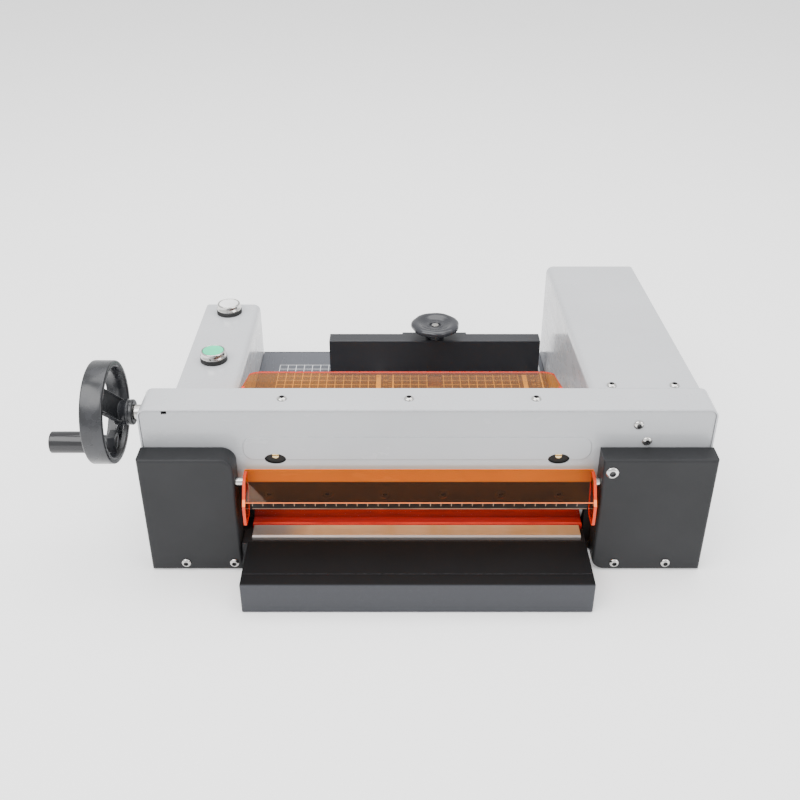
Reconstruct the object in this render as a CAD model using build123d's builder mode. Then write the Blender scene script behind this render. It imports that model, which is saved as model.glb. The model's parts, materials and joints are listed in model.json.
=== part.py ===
"""Desktop electric guillotine paper cutter with a handwheel paper clamp.

Frame: millimetres, +Z up, X to the operator's right, Y away from the operator.
X = 0 is the middle of the front table, Y = 0 lies 3 mm behind the flat of the
knife and Z = 0 is the surface that the machine stands on.  The knife and the
clamp are modelled in their lowered positions.
"""
import math
import os

from build123d import *

# ---- driving dimensions -------------------------------------------------------
TABLE_TOP = 36.0            # height of the paper plane
WALL_LEFT, WALL_RIGHT = -188.0, 161.0        # inner faces of the two arms
ARM_LEFT, ARM_RIGHT = -254.0, 264.0          # outer faces of the two arms
ARM_FRONT, ARM_REAR = 20.5, 338.0
LEFT_ARM_TOP = 102.0
RIGHT_ARM_TOP_FRONT, RIGHT_ARM_TOP_REAR = 168.3, 152.5
HOOD_LEFT, HOOD_RIGHT = -253.0, 271.0
HOOD_FRONT, HOOD_REAR, HOOD_TOP = -18.0, 20.0, 168.5
SHEET = 1.5                 # thickness of the painted steel sheet
BODY_BOTTOM = 2.0

PANEL_FACE, PANEL_SHEET = -17.0, 1.2
PANEL_BOTTOM, PANEL_TOP = 88.0, 166.6

COVER_FRONT, COVER_BACK = -40.0, -18.6
COVER_BOTTOM, COVER_TOP, COVER_WALL = 1.0, 128.4, 2.0
LEFT_COVER = (-254.0, -167.0)
RIGHT_COVER = (168.0, 272.0)

PAN_BOTTOM, PAN_TOP = 6.0, 8.0
FRONT_TABLE_HALF, FRONT_TABLE_TOP = 160.5, 33.5
APRON_FRONT, APRON_BACK = -98.5, -84.0
REAR_TABLE_FRONT, REAR_TABLE_REAR, REAR_TABLE_THICK = 3.0, 333.0, 4.0
SLOT_X, SLOT_WIDTH, SLOT_FRONT, SLOT_REAR = 26.0, 17.0, 34.0, 326.0

FRAME_THICK, FRAME_FRONT, FRAME_REAR, FRAME_TOP = 13.0, -6.2, 18.5, 164.0
LEFT_FRAME_X = WALL_LEFT - 1.0 - FRAME_THICK / 2
RIGHT_FRAME_X = WALL_RIGHT + 2.0 + FRAME_THICK / 2

STROKE = 45.0               # travel of the knife carrier along its slant
SLANT = 20.0                # degrees that the stroke leans to the left of vertical
CARRIER_FRONT, CARRIER_BACK = -14.8, -6.8
CARRIER_BOTTOM, CARRIER_TOP, CARRIER_LEFT = 53.5, 121.5, -211.0
GUIDE_Z, GUIDE_SIZE = 112.0, 14.0
BLADE_THICK, BLADE_EDGE, BLADE_TOP = 4.0, 36.3, 82.0
BLADE_LEFT, BLADE_RIGHT = -165.0, 161.0
RACK_MODULE, PINION_TEETH = 2.0, 14
RACK_CONTACT = (214.0, 98.0)

CLAMP_FRONT, CLAMP_BACK, CLAMP_BOTTOM, CLAMP_TOP = -1.5, 12.0, 36.3, 86.0
SHAFT_Y, SHAFT_Z, SHAFT_RADIUS = 4.0, 152.5, 4.0
SCREW_LEFT_X, SCREW_RIGHT_X, SCREW_RADIUS = -238.0, 188.0, 5.0
MITER_PITCH, MITER_FACE, MITER_TEETH = 9.0, 3.6, 16
RUNNING = 0.05              # radial clearance of a shaft in its bore

WHEEL_RADIUS, WHEEL_INNER, WHEEL_OUTER = 48.0, -277.4, -297.6
HANDLE_OFFSET, HANDLE_END = 33.5, -343.5

GUARD_LEFT, GUARD_RIGHT, GUARD_SHEET = -160.0, 164.0, 3.0
GUARD_PIVOT = (-31.5, 99.5)
GUARD_TOP_EDGE, GUARD_LOW_EDGE = (-20.5, 105.5), (-48.0, 87.5)
GUARD_PLATE_BOTTOM = 62.0
REAR_GUARD_LEFT, REAR_GUARD_RIGHT = -174.0, 146.0
REAR_PIVOT = (24.5, 148.0)
REAR_GUARD_NEAR, REAR_GUARD_FAR = (28.5, 149.0), (142.0, 117.0)
PIN_RADIUS = 2.5

FENCE_LEFT, FENCE_RIGHT = -100.0, 151.0
FENCE_FRONT, FENCE_BACK, FENCE_TOP = 273.0, 292.0, 84.0
KNOB_RADIUS, KNOB_Y, KNOB_LOBES = 30.5, 283.0, 7

BUTTON_X, GREEN_Y, WHITE_Y = -222.5, 194.0, 313.0
BEZEL_RADIUS, CAP_RADIUS = 14.5, 11.4

os.makedirs("parts", exist_ok=True)


def save(name, builder):
    """Label one finished piece and write it to its own STEP file."""
    builder.part.label = name
    export_step(builder.part, f"parts/{name}.step")


def sin(angle):
    return math.sin(math.radians(angle))


def cos(angle):
    return math.cos(math.radians(angle))


def block(x0, x1, y0, y1, z0, z1):
    """A box given by its limits; used inside a BuildPart block."""
    middle = Pos((x0 + x1) / 2, (y0 + y1) / 2, (z0 + z1) / 2)
    return middle * Box(x1 - x0, y1 - y0, z1 - z0, mode=Mode.PRIVATE)


def along_x(radius, x0, x1, y, z):
    return Pos((x0 + x1) / 2, y, z) * Rot(0, 90, 0) * Cylinder(radius, abs(x1 - x0), mode=Mode.PRIVATE)


def along_y(radius, y0, y1, x, z):
    return Pos(x, (y0 + y1) / 2, z) * Rot(90, 0, 0) * Cylinder(radius, abs(y1 - y0), mode=Mode.PRIVATE)


def along_z(radius, z0, z1, x, y):
    return Pos(x, y, (z0 + z1) / 2) * Cylinder(radius, abs(z1 - z0), mode=Mode.PRIVATE)


def front_plane(y):
    """A sketch plane facing the operator: local x is X, local y is Z."""
    return Plane(origin=(0, y, 0), x_dir=(1, 0, 0), z_dir=(0, -1, 0))


def side_plane(x):
    """A sketch plane facing +X: local x is Y, local y is Z."""
    return Plane(origin=(x, 0, 0), x_dir=(0, 1, 0), z_dir=(1, 0, 0))


# ---- base and tables ----------------------------------------------------------
PAN_FRONT, PAN_REAR, PAN_SIDE_GAP, PAN_CORNER = -17.0, 333.0, 5.0, 8.0
with BuildPart() as base_pan:
    with BuildSketch(Plane.XY.offset(PAN_BOTTOM)):
        with Locations(((ARM_LEFT + ARM_RIGHT) / 2, (PAN_FRONT + PAN_REAR) / 2)):
            RectangleRounded(ARM_RIGHT - ARM_LEFT - 2 * PAN_SIDE_GAP, PAN_REAR - PAN_FRONT, PAN_CORNER)
    extrude(amount=PAN_TOP - PAN_BOTTOM)
save("base_pan", base_pan)

FOOT_PLACES = [(-150, -3), (150, -3), (-226, 312), (236, 312)]
FOOT_RADIUS, FOOT_TAPER = 13.0, 8.0
with BuildPart() as feet:
    for place in FOOT_PLACES:
        with BuildSketch(Plane.XY):
            with Locations(place):
                Circle(FOOT_RADIUS)
        extrude(amount=PAN_BOTTOM, taper=FOOT_TAPER)
save("feet", feet)

BED_FRONT, BED_BACK, BED_POCKET_TOP = -37.0, 30.0, 20.0
BED_POCKETS, BED_POCKET_HALF = (-120.0, -13.5, 93.0), 45.0
BED_WALL = 7.5
STRIP_FRONT, STRIP_THICK = -32.5, 5.0
STICK_FRONT, STICK_BACK, STICK_DEPTH = -15.5, 2.5, 8.0
with BuildPart() as bed:
    with BuildSketch(side_plane(WALL_LEFT)):
        with BuildLine():
            Polyline((BED_FRONT, PAN_TOP), (BED_BACK, PAN_TOP), (BED_BACK, TABLE_TOP - REAR_TABLE_THICK),
                     (STICK_BACK + 0.1, TABLE_TOP - REAR_TABLE_THICK),
                     (STICK_BACK + 0.1, TABLE_TOP - STICK_DEPTH),
                     (STICK_FRONT - 0.1, TABLE_TOP - STICK_DEPTH),
                     (STICK_FRONT - 0.1, TABLE_TOP - STRIP_THICK),
                     (BED_FRONT, TABLE_TOP - STRIP_THICK), close=True)
        make_face()
    extrude(amount=WALL_RIGHT - WALL_LEFT)
    for x in BED_POCKETS:
        add(block(x - BED_POCKET_HALF, x + BED_POCKET_HALF, BED_FRONT + BED_WALL, BED_BACK - BED_WALL,
                  PAN_TOP - 1, BED_POCKET_TOP), mode=Mode.SUBTRACT)
    add(block(WALL_LEFT - 1, LEFT_COVER[1] + 1, BED_FRONT - 1, PAN_FRONT, PAN_TOP - 1, TABLE_TOP),
        mode=Mode.SUBTRACT)
save("bed", bed)

STRIP_HALF, STICK_LEFT, STICK_RIGHT = 156.7, -158.0, 160.0
with BuildPart() as bed_strip:
    add(block(-STRIP_HALF, STRIP_HALF, STRIP_FRONT, STICK_FRONT - 0.3, TABLE_TOP - STRIP_THICK, TABLE_TOP))
    chamfer(bed_strip.edges().filter_by(Axis.X).group_by(Axis.Y)[0].group_by(Axis.Z)[-1], 1.6)
save("bed_strip", bed_strip)

with BuildPart() as cutting_stick:
    add(block(STICK_LEFT, STICK_RIGHT, STICK_FRONT, STICK_BACK, TABLE_TOP - STICK_DEPTH, TABLE_TOP))
    chamfer(cutting_stick.edges().filter_by(Axis.X), 0.6)
save("cutting_stick", cutting_stick)

TABLE_WALL, TABLE_BOTTOM, APRON_WALL, APRON_BOTTOM = 6.0, 3.0, 5.0, 1.0
with BuildPart() as front_table:
    add(block(-FRONT_TABLE_HALF, FRONT_TABLE_HALF, APRON_BACK + 0.4, BED_FRONT,
              TABLE_BOTTOM, FRONT_TABLE_TOP))
    add(block(-FRONT_TABLE_HALF + TABLE_WALL, FRONT_TABLE_HALF - TABLE_WALL, APRON_BACK - 1,
              BED_FRONT - TABLE_WALL, TABLE_BOTTOM - 1, FRONT_TABLE_TOP - TABLE_WALL), mode=Mode.SUBTRACT)
    fillet(front_table.edges().filter_by(Axis.Y).group_by(Axis.Z)[-1], 1.2)
save("front_table", front_table)

with BuildPart() as front_apron:
    add(block(-FRONT_TABLE_HALF, FRONT_TABLE_HALF, APRON_FRONT, APRON_BACK, APRON_BOTTOM, FRONT_TABLE_TOP))
    fillet(front_apron.edges().filter_by(Axis.X).group_by(Axis.Y)[0].group_by(Axis.Z)[-1], 1.5)
    fillet(front_apron.edges().filter_by(Axis.Z).group_by(Axis.Y)[0], 1.5)
    add(block(-FRONT_TABLE_HALF + APRON_WALL, FRONT_TABLE_HALF - APRON_WALL, APRON_FRONT + APRON_WALL,
              APRON_BACK + 1, APRON_BOTTOM - 1, FRONT_TABLE_TOP - APRON_WALL), mode=Mode.SUBTRACT)
save("front_apron", front_apron)

with BuildPart() as rear_table:
    add(block(WALL_LEFT + 0.5, WALL_RIGHT - 0.5, REAR_TABLE_FRONT, REAR_TABLE_REAR,
              TABLE_TOP - REAR_TABLE_THICK, TABLE_TOP))
    with BuildSketch(Plane.XY.offset(TABLE_TOP)):
        with Locations((SLOT_X, (SLOT_FRONT + SLOT_REAR) / 2)):
            SlotOverall(SLOT_REAR - SLOT_FRONT, SLOT_WIDTH, rotation=90)
    extrude(amount=-REAR_TABLE_THICK, mode=Mode.SUBTRACT)
save("rear_table", rear_table)

RAIL_WIDTH = 12.0
with BuildPart() as table_rails:
    for x0 in (WALL_LEFT + 0.5, WALL_RIGHT - 0.5 - RAIL_WIDTH):
        add(block(x0, x0 + RAIL_WIDTH, BED_BACK + 1, REAR_TABLE_REAR - 3,
                  PAN_TOP, TABLE_TOP - REAR_TABLE_THICK))
save("table_rails", table_rails)

VENT_RADIUS, VENT_Z, VENT_PITCH = 3.0, 20.0, 24
with BuildPart() as rear_panel:
    add(block(WALL_LEFT + 0.5, WALL_RIGHT - 0.5, REAR_TABLE_REAR + 0.2, REAR_TABLE_REAR + 0.2 + SHEET,
              TABLE_BOTTOM, TABLE_TOP))
    for x in range(-150, 130, VENT_PITCH):
        add(along_y(VENT_RADIUS, REAR_TABLE_REAR - 1, REAR_TABLE_REAR + 3, x, VENT_Z), mode=Mode.SUBTRACT)
save("rear_panel", rear_panel)

# ---- side frames and cross beam -----------------------------------------------
LUG_SLOT_FRONT, LUG_SLOT_BACK, LUG_SLOT_BOTTOM, LUG_SLOT_TOP = 0.6, 7.4, 52.0, 134.0
BUSH_RADIUS = 8.0


def side_frame(centre_x):
    """A cast side plate with the clamp lug's slot and the shaft bush's hole."""
    x0, x1 = centre_x - FRAME_THICK / 2, centre_x + FRAME_THICK / 2
    with BuildPart() as frame:
        add(block(x0, x1, FRAME_FRONT, FRAME_REAR, PAN_TOP, FRAME_TOP))
        fillet(frame.edges().filter_by(Axis.X).group_by(Axis.Z)[-1], 4)
        add(block(x0 - 1, x1 + 1, LUG_SLOT_FRONT, LUG_SLOT_BACK, LUG_SLOT_BOTTOM, LUG_SLOT_TOP),
            mode=Mode.SUBTRACT)
        add(along_x(BUSH_RADIUS, x0 - 1, x1 + 1, SHAFT_Y, SHAFT_Z), mode=Mode.SUBTRACT)
    return frame


save("left_side_frame", side_frame(LEFT_FRAME_X))
save("right_side_frame", side_frame(RIGHT_FRAME_X))

BEAM_FRONT, BEAM_BOTTOM, BEAM_TOP = 13.5, 131.0, 163.0
with BuildPart() as cross_beam:
    add(block(LEFT_FRAME_X + FRAME_THICK / 2, RIGHT_FRAME_X - FRAME_THICK / 2,
              BEAM_FRONT, FRAME_REAR, BEAM_BOTTOM, BEAM_TOP))
save("cross_beam", cross_beam)

with BuildPart() as guide_blocks:
    for x in (LEFT_FRAME_X, RIGHT_FRAME_X):
        slanted = Plane(origin=(x, FRAME_FRONT, GUIDE_Z), x_dir=(cos(SLANT), 0, sin(SLANT)), z_dir=(0, -1, 0))
        with BuildSketch(slanted):
            RectangleRounded(GUIDE_SIZE, GUIDE_SIZE, 2)
        extrude(amount=FRAME_FRONT - CARRIER_FRONT - 0.3)
save("guide_blocks", guide_blocks)

# ---- knife carrier, blade and drive -------------------------------------------
UP = (-sin(SLANT), cos(SLANT))          # direction of the upward stroke in the XZ plane
OUT = (cos(SLANT), sin(SLANT))          # across the stroke, towards the pinion
RACK_BACK = 10.0                        # from the rack's back to its pitch line


def rack_point(along, across):
    """A point of the XZ plane measured from the rack's contact point."""
    return (RACK_CONTACT[0] + along * UP[0] + across * OUT[0],
            RACK_CONTACT[1] + along * UP[1] + across * OUT[1])


def carrier_edge_x(z):
    """X of the slanted right end of the carrier, where the rack is fixed."""
    x, foot = rack_point(0, -RACK_BACK)
    return x - (z - foot) * math.tan(math.radians(SLANT))


ADJUSTER_X, ADJUSTER_Z = (-131.0, 131.0), 117.0
KNIFE_SCREW_X = [-140 + 55 * i for i in range(6)]
KNIFE_SCREW_Z, KNIFE_SCREW_RADIUS, KNIFE_HEAD_RADIUS = 72.0, 2.5, 4.5
KNIFE_HEAD_SEAT, KNIFE_SCREW_END = CARRIER_FRONT + 4.0, CARRIER_BACK + 3.0
ADJUSTER_RADIUS, ADJUSTER_DEPTH = 3.2, 6.0
with BuildPart() as knife_carrier:
    with BuildSketch(front_plane(CARRIER_FRONT)):
        with BuildLine():
            Polyline((CARRIER_LEFT, CARRIER_BOTTOM), (carrier_edge_x(CARRIER_BOTTOM), CARRIER_BOTTOM),
                     (carrier_edge_x(CARRIER_TOP), CARRIER_TOP), (CARRIER_LEFT, CARRIER_TOP), close=True)
        make_face()
    extrude(amount=-(CARRIER_BACK - CARRIER_FRONT))
    chamfer(knife_carrier.edges().filter_by(Axis.X).group_by(Axis.Z)[0].group_by(Axis.Y)[0], 1)
    for x in (LEFT_FRAME_X, RIGHT_FRAME_X):
        middle = (x - UP[0] * STROKE / 2, GUIDE_Z - UP[1] * STROKE / 2)
        slot_plane = Plane(origin=(middle[0], CARRIER_FRONT, middle[1]), x_dir=(OUT[0], 0, OUT[1]),
                           z_dir=(0, -1, 0))
        with BuildSketch(slot_plane):
            RectangleRounded(GUIDE_SIZE + 0.2, STROKE + GUIDE_SIZE + 1.0, 2)
        extrude(amount=-(CARRIER_BACK - CARRIER_FRONT), mode=Mode.SUBTRACT)
    for x in KNIFE_SCREW_X:
        add(along_y(KNIFE_SCREW_RADIUS + 0.1, CARRIER_FRONT - 1, CARRIER_BACK + 1, x, KNIFE_SCREW_Z),
            mode=Mode.SUBTRACT)
        add(along_y(KNIFE_HEAD_RADIUS + 0.3, CARRIER_FRONT - 1, KNIFE_HEAD_SEAT, x, KNIFE_SCREW_Z),
            mode=Mode.SUBTRACT)
    for x in ADJUSTER_X:
        add(along_y(ADJUSTER_RADIUS, CARRIER_FRONT - 1, CARRIER_FRONT + ADJUSTER_DEPTH, x, ADJUSTER_Z),
            mode=Mode.SUBTRACT)
save("knife_carrier", knife_carrier)

BEVEL_HEIGHT = 12.0
with BuildPart() as knife_blade:
    with BuildSketch(side_plane(BLADE_LEFT)):
        with BuildLine():
            Polyline((CARRIER_BACK + BLADE_THICK, BLADE_EDGE), (CARRIER_BACK + BLADE_THICK, BLADE_TOP),
                     (CARRIER_BACK, BLADE_TOP), (CARRIER_BACK, BLADE_EDGE + BEVEL_HEIGHT),
                     (CARRIER_BACK + BLADE_THICK - 0.3, BLADE_EDGE), close=True)
        make_face()
    extrude(amount=BLADE_RIGHT - BLADE_LEFT)
    for x in KNIFE_SCREW_X:
        add(along_y(KNIFE_SCREW_RADIUS, CARRIER_BACK - 1, KNIFE_SCREW_END, x, KNIFE_SCREW_Z), mode=Mode.SUBTRACT)
save("knife_blade", knife_blade)

with BuildPart() as knife_screws:
    for x in KNIFE_SCREW_X:
        add(along_y(KNIFE_HEAD_RADIUS, CARRIER_FRONT + 0.2, KNIFE_HEAD_SEAT, x, KNIFE_SCREW_Z))
        add(along_y(KNIFE_SCREW_RADIUS, KNIFE_HEAD_SEAT, KNIFE_SCREW_END, x, KNIFE_SCREW_Z))
        with BuildSketch(front_plane(CARRIER_FRONT + 0.2)):
            with Locations((x, KNIFE_SCREW_Z)):
                RegularPolygon(2.2, 6)
        extrude(amount=-2.5, mode=Mode.SUBTRACT)
save("knife_screws", knife_screws)

with BuildPart() as knife_adjusters:
    for x in ADJUSTER_X:
        add(along_y(ADJUSTER_RADIUS, CARRIER_FRONT - 0.4, CARRIER_FRONT + ADJUSTER_DEPTH, x, ADJUSTER_Z))
        add(block(x - ADJUSTER_RADIUS, x + ADJUSTER_RADIUS, CARRIER_FRONT - 0.5, CARRIER_FRONT + 0.6,
                  ADJUSTER_Z - 0.6, ADJUSTER_Z + 0.6), mode=Mode.SUBTRACT)
save("knife_adjusters", knife_adjusters)

with BuildPart() as scale_strip:
    add(block(-157, 163, CARRIER_FRONT - 0.5, CARRIER_FRONT, CARRIER_BOTTOM + 1.5, CARRIER_BOTTOM + 8.5))
save("scale_strip", scale_strip)

RACK_PITCH = math.pi * RACK_MODULE
TOOTH_ROOT, TOOTH_TIP = 0.22, 0.12      # half widths as fractions of the pitch, thin for backlash
RACK_LOW, RACK_HIGH = -53.0, 9.0
with BuildPart() as knife_rack:
    rack_plane = Plane(origin=(RACK_CONTACT[0], CARRIER_FRONT, RACK_CONTACT[1]),
                       x_dir=(OUT[0], 0, OUT[1]), z_dir=(0, -1, 0))
    with BuildSketch(rack_plane):
        with Locations(((-RACK_BACK - 1.2 * RACK_MODULE) / 2, (RACK_LOW + RACK_HIGH) / 2)):
            Rectangle(RACK_BACK - 1.2 * RACK_MODULE, RACK_HIGH - RACK_LOW)
        for i in range(-8, 2):
            centre = i * RACK_PITCH
            with BuildLine():
                Polyline((-1.3 * RACK_MODULE, centre - TOOTH_ROOT * RACK_PITCH),
                         (0.9 * RACK_MODULE, centre - TOOTH_TIP * RACK_PITCH),
                         (0.9 * RACK_MODULE, centre + TOOTH_TIP * RACK_PITCH),
                         (-1.3 * RACK_MODULE, centre + TOOTH_ROOT * RACK_PITCH), close=True)
            make_face()
    extrude(amount=-(CARRIER_BACK - CARRIER_FRONT))
save("knife_rack", knife_rack)

PINION_PITCH_RADIUS = RACK_MODULE * PINION_TEETH / 2
PINION_X, PINION_Z = rack_point(0, PINION_PITCH_RADIUS)
PINION_SHAFT_RADIUS, GEARBOX_FRONT = 6.0, 14.0
with BuildPart() as drive_pinion:
    pinion_plane = Plane(origin=(PINION_X, CARRIER_FRONT + 0.5, PINION_Z), x_dir=(OUT[0], 0, OUT[1]),
                         z_dir=(0, -1, 0))
    with BuildSketch(pinion_plane):
        Circle(PINION_PITCH_RADIUS - 1.2 * RACK_MODULE)
        for i in range(PINION_TEETH):
            turn = 180 + (i + 0.5) * 360 / PINION_TEETH
            inner, outer = PINION_PITCH_RADIUS - 1.4 * RACK_MODULE, PINION_PITCH_RADIUS + 0.9 * RACK_MODULE
            root, tip = TOOTH_ROOT * RACK_PITCH, TOOTH_TIP * RACK_PITCH
            with BuildLine():
                Polyline(*[(r * cos(turn) - w * sin(turn), r * sin(turn) + w * cos(turn))
                           for r, w in ((inner, -root), (outer, -tip), (outer, tip), (inner, root))],
                         close=True)
            make_face()
    extrude(amount=-7)
    add(along_y(PINION_SHAFT_RADIUS, CARRIER_FRONT + 7, GEARBOX_FRONT + 8, PINION_X, PINION_Z))
save("drive_pinion", drive_pinion)

DRIVE_X, MOTOR_Z = 228.0, 103.0
GEARBOX_BACK, GEARBOX_HALF, GEARBOX_BOTTOM, GEARBOX_TOP = 74.0, 30.0, 66.0, 140.0
with BuildPart() as gearbox:
    add(block(DRIVE_X - GEARBOX_HALF, DRIVE_X + GEARBOX_HALF, GEARBOX_FRONT, GEARBOX_BACK,
              GEARBOX_BOTTOM, GEARBOX_TOP))
    fillet(gearbox.edges().filter_by(Axis.Y), 8)
    add(along_y(14, GEARBOX_FRONT - 4, GEARBOX_FRONT, PINION_X, PINION_Z))
    add(along_y(PINION_SHAFT_RADIUS + RUNNING, GEARBOX_FRONT - 6, GEARBOX_FRONT + 10, PINION_X, PINION_Z),
        mode=Mode.SUBTRACT)
save("gearbox", gearbox)

MOTOR_RADIUS, MOTOR_FLANGE, MOTOR_BODY_END, MOTOR_BACK = 26.0, 28.0, 178.0, 186.0
with BuildPart() as drive_motor:
    add(along_y(MOTOR_FLANGE, GEARBOX_BACK, GEARBOX_BACK + 4, DRIVE_X, MOTOR_Z))
    add(along_y(MOTOR_RADIUS, GEARBOX_BACK + 4, MOTOR_BODY_END, DRIVE_X, MOTOR_Z))
    add(along_y(MOTOR_FLANGE, MOTOR_BODY_END, MOTOR_BACK, DRIVE_X, MOTOR_Z))
    chamfer(drive_motor.edges().filter_by(GeomType.CIRCLE).group_by(Axis.Y)[-1], 2)
save("drive_motor", drive_motor)

SUPPORT_HALF, SUPPORT_FRONT, SUPPORT_BACK, SUPPORT_FOOT, SUPPORT_WALL = 28.0, 22.0, 66.0, 3.0, 6.0
with BuildPart() as drive_support:
    support_x = (DRIVE_X - SUPPORT_HALF, DRIVE_X + SUPPORT_HALF)
    add(block(*support_x, SUPPORT_FRONT - 6, SUPPORT_BACK + 6, PAN_TOP, PAN_TOP + SUPPORT_FOOT))
    add(block(*support_x, SUPPORT_FRONT, SUPPORT_BACK, PAN_TOP + SUPPORT_FOOT, GEARBOX_BOTTOM))
    add(block(support_x[0] + SUPPORT_WALL, support_x[1] - SUPPORT_WALL, SUPPORT_FRONT - 1, SUPPORT_BACK + 1,
              PAN_TOP + SUPPORT_FOOT, GEARBOX_BOTTOM - SUPPORT_WALL), mode=Mode.SUBTRACT)
save("drive_support", drive_support)

# ---- clamp bar and its lifting gear --------------------------------------------
LUG_BOTTOM, LUG_TOP, NUT_RADIUS = 60.0, 80.0, 7.5
with BuildPart() as clamp_bar:
    add(block(WALL_LEFT + 0.5, WALL_RIGHT - 0.5, CLAMP_FRONT, CLAMP_BACK, CLAMP_BOTTOM, CLAMP_TOP))
    chamfer(clamp_bar.edges().filter_by(Axis.X).group_by(Axis.Z)[-1], 1.5)
    for screw_x, bar_end in ((SCREW_LEFT_X, WALL_LEFT + 0.5), (SCREW_RIGHT_X, WALL_RIGHT - 0.5)):
        low_x, high_x = sorted((screw_x, bar_end))
        add(block(low_x, high_x, LUG_SLOT_FRONT + 0.4, LUG_SLOT_BACK - 0.4, LUG_BOTTOM, LUG_TOP))
        add(along_z(NUT_RADIUS + 2.5, LUG_BOTTOM, LUG_TOP, screw_x, SHAFT_Y))
        add(along_z(NUT_RADIUS, LUG_BOTTOM - 1, LUG_TOP + 1, screw_x, SHAFT_Y), mode=Mode.SUBTRACT)
save("clamp_bar", clamp_bar)

with BuildPart() as clamp_nuts:
    for x in (SCREW_LEFT_X, SCREW_RIGHT_X):
        add(along_z(NUT_RADIUS, LUG_BOTTOM, LUG_TOP, x, SHAFT_Y))
        add(along_z(SCREW_RADIUS + RUNNING, LUG_BOTTOM - 1, LUG_TOP + 1, x, SHAFT_Y), mode=Mode.SUBTRACT)
save("clamp_nuts", clamp_nuts)

THREAD_LOW, THREAD_HIGH, THREAD_DEPTH = 26.0, 124.0, 0.9
THREAD_PITCH = 4.0          # four starts, so 16 mm a turn
NECK_RADIUS, SCREW_FOOT = 4.0, 10.0
SCREW_GEAR_LARGE = SHAFT_Z - MITER_PITCH
GEAR_BACK = 3.5
TIP_GAP = 0.15              # the tips of meeting miter gears stop this far short of their pitch cones


def miter_teeth(plane):
    """Cut the gaps of a miter gear whose cone apex is the plane's origin, opening along its normal."""
    for i in range(MITER_TEETH):
        gap = Box(1.1, 1.5, 3 * MITER_FACE, mode=Mode.PRIVATE)
        placed = plane * Rot(0, 0, i * 360 / MITER_TEETH) * Pos(0, MITER_PITCH - 2.0, MITER_PITCH - 2.0)
        add(placed * Rot(-45, 0, 0) * gap, mode=Mode.SUBTRACT)


def lead_screw(x):
    """Vertical clamp screw, turned in one piece with its miter gear."""
    with BuildPart() as screw:
        with BuildSketch(Plane(origin=(x, SHAFT_Y, 0), x_dir=(1, 0, 0), z_dir=(0, -1, 0))):
            turns = int((THREAD_HIGH - THREAD_LOW) / THREAD_PITCH)
            points = [(0, SCREW_FOOT), (NECK_RADIUS, SCREW_FOOT), (NECK_RADIUS, THREAD_LOW)]
            for i in range(turns):
                foot = THREAD_LOW + i * THREAD_PITCH
                points += [(SCREW_RADIUS, foot), (SCREW_RADIUS, foot + THREAD_PITCH * 0.5),
                           (SCREW_RADIUS - THREAD_DEPTH, foot + THREAD_PITCH * 0.62),
                           (SCREW_RADIUS - THREAD_DEPTH, foot + THREAD_PITCH * 0.88)]
            gear_back = SCREW_GEAR_LARGE - GEAR_BACK
            points += [(NECK_RADIUS, THREAD_HIGH), (NECK_RADIUS, gear_back), (MITER_PITCH - 1.5, gear_back),
                       (MITER_PITCH - TIP_GAP, SCREW_GEAR_LARGE - TIP_GAP),
                       (MITER_PITCH - MITER_FACE - TIP_GAP, SCREW_GEAR_LARGE + MITER_FACE - TIP_GAP),
                       (0, SCREW_GEAR_LARGE + MITER_FACE - TIP_GAP)]
            with BuildLine():
                Polyline(*points, close=True)
            make_face()
        revolve(axis=Axis((x, SHAFT_Y, 0), (0, 0, 1)))
        miter_teeth(Plane(origin=(x, SHAFT_Y, SHAFT_Z), x_dir=(1, 0, 0), z_dir=(0, 0, -1)))
    return screw


save("left_lead_screw", lead_screw(SCREW_LEFT_X))
save("right_lead_screw", lead_screw(SCREW_RIGHT_X))

BEARING_LOW_TOP, BEARING_TOP_LOW, BEARING_TOP_HIGH, BEARING_HALF = 22.0, 127.0, 135.0, 8.0
with BuildPart() as screw_bearings:
    for x, frame_face in ((SCREW_LEFT_X, LEFT_FRAME_X - FRAME_THICK / 2),
                          (SCREW_RIGHT_X, RIGHT_FRAME_X + FRAME_THICK / 2)):
        far_x = x - BEARING_HALF if x < 0 else x + BEARING_HALF
        for z0, z1 in ((PAN_TOP, BEARING_LOW_TOP), (BEARING_TOP_LOW, BEARING_TOP_HIGH)):
            add(block(min(far_x, frame_face), max(far_x, frame_face), SHAFT_Y - BEARING_HALF,
                      SHAFT_Y + BEARING_HALF, z0, z1))
        add(along_z(NECK_RADIUS + RUNNING, SCREW_FOOT - 0.5, BEARING_LOW_TOP + 1, x, SHAFT_Y),
            mode=Mode.SUBTRACT)
        add(along_z(NECK_RADIUS + RUNNING, BEARING_TOP_LOW - 1, BEARING_TOP_HIGH + 1, x, SHAFT_Y),
            mode=Mode.SUBTRACT)
save("screw_bearings", screw_bearings)

SHAFT_END, COLLAR_INNER, COLLAR_OUTER, SHAFT_TIP, SHAFT_COLLAR_RADIUS = 206.0, -253.6, -260.2, -277.5, 7.0
with BuildPart() as clamp_shaft:
    add(along_x(SHAFT_RADIUS, SHAFT_TIP, SHAFT_END, SHAFT_Y, SHAFT_Z))
    add(along_x(SHAFT_COLLAR_RADIUS, COLLAR_OUTER, COLLAR_INNER, SHAFT_Y, SHAFT_Z))
save("clamp_shaft", clamp_shaft)

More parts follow.
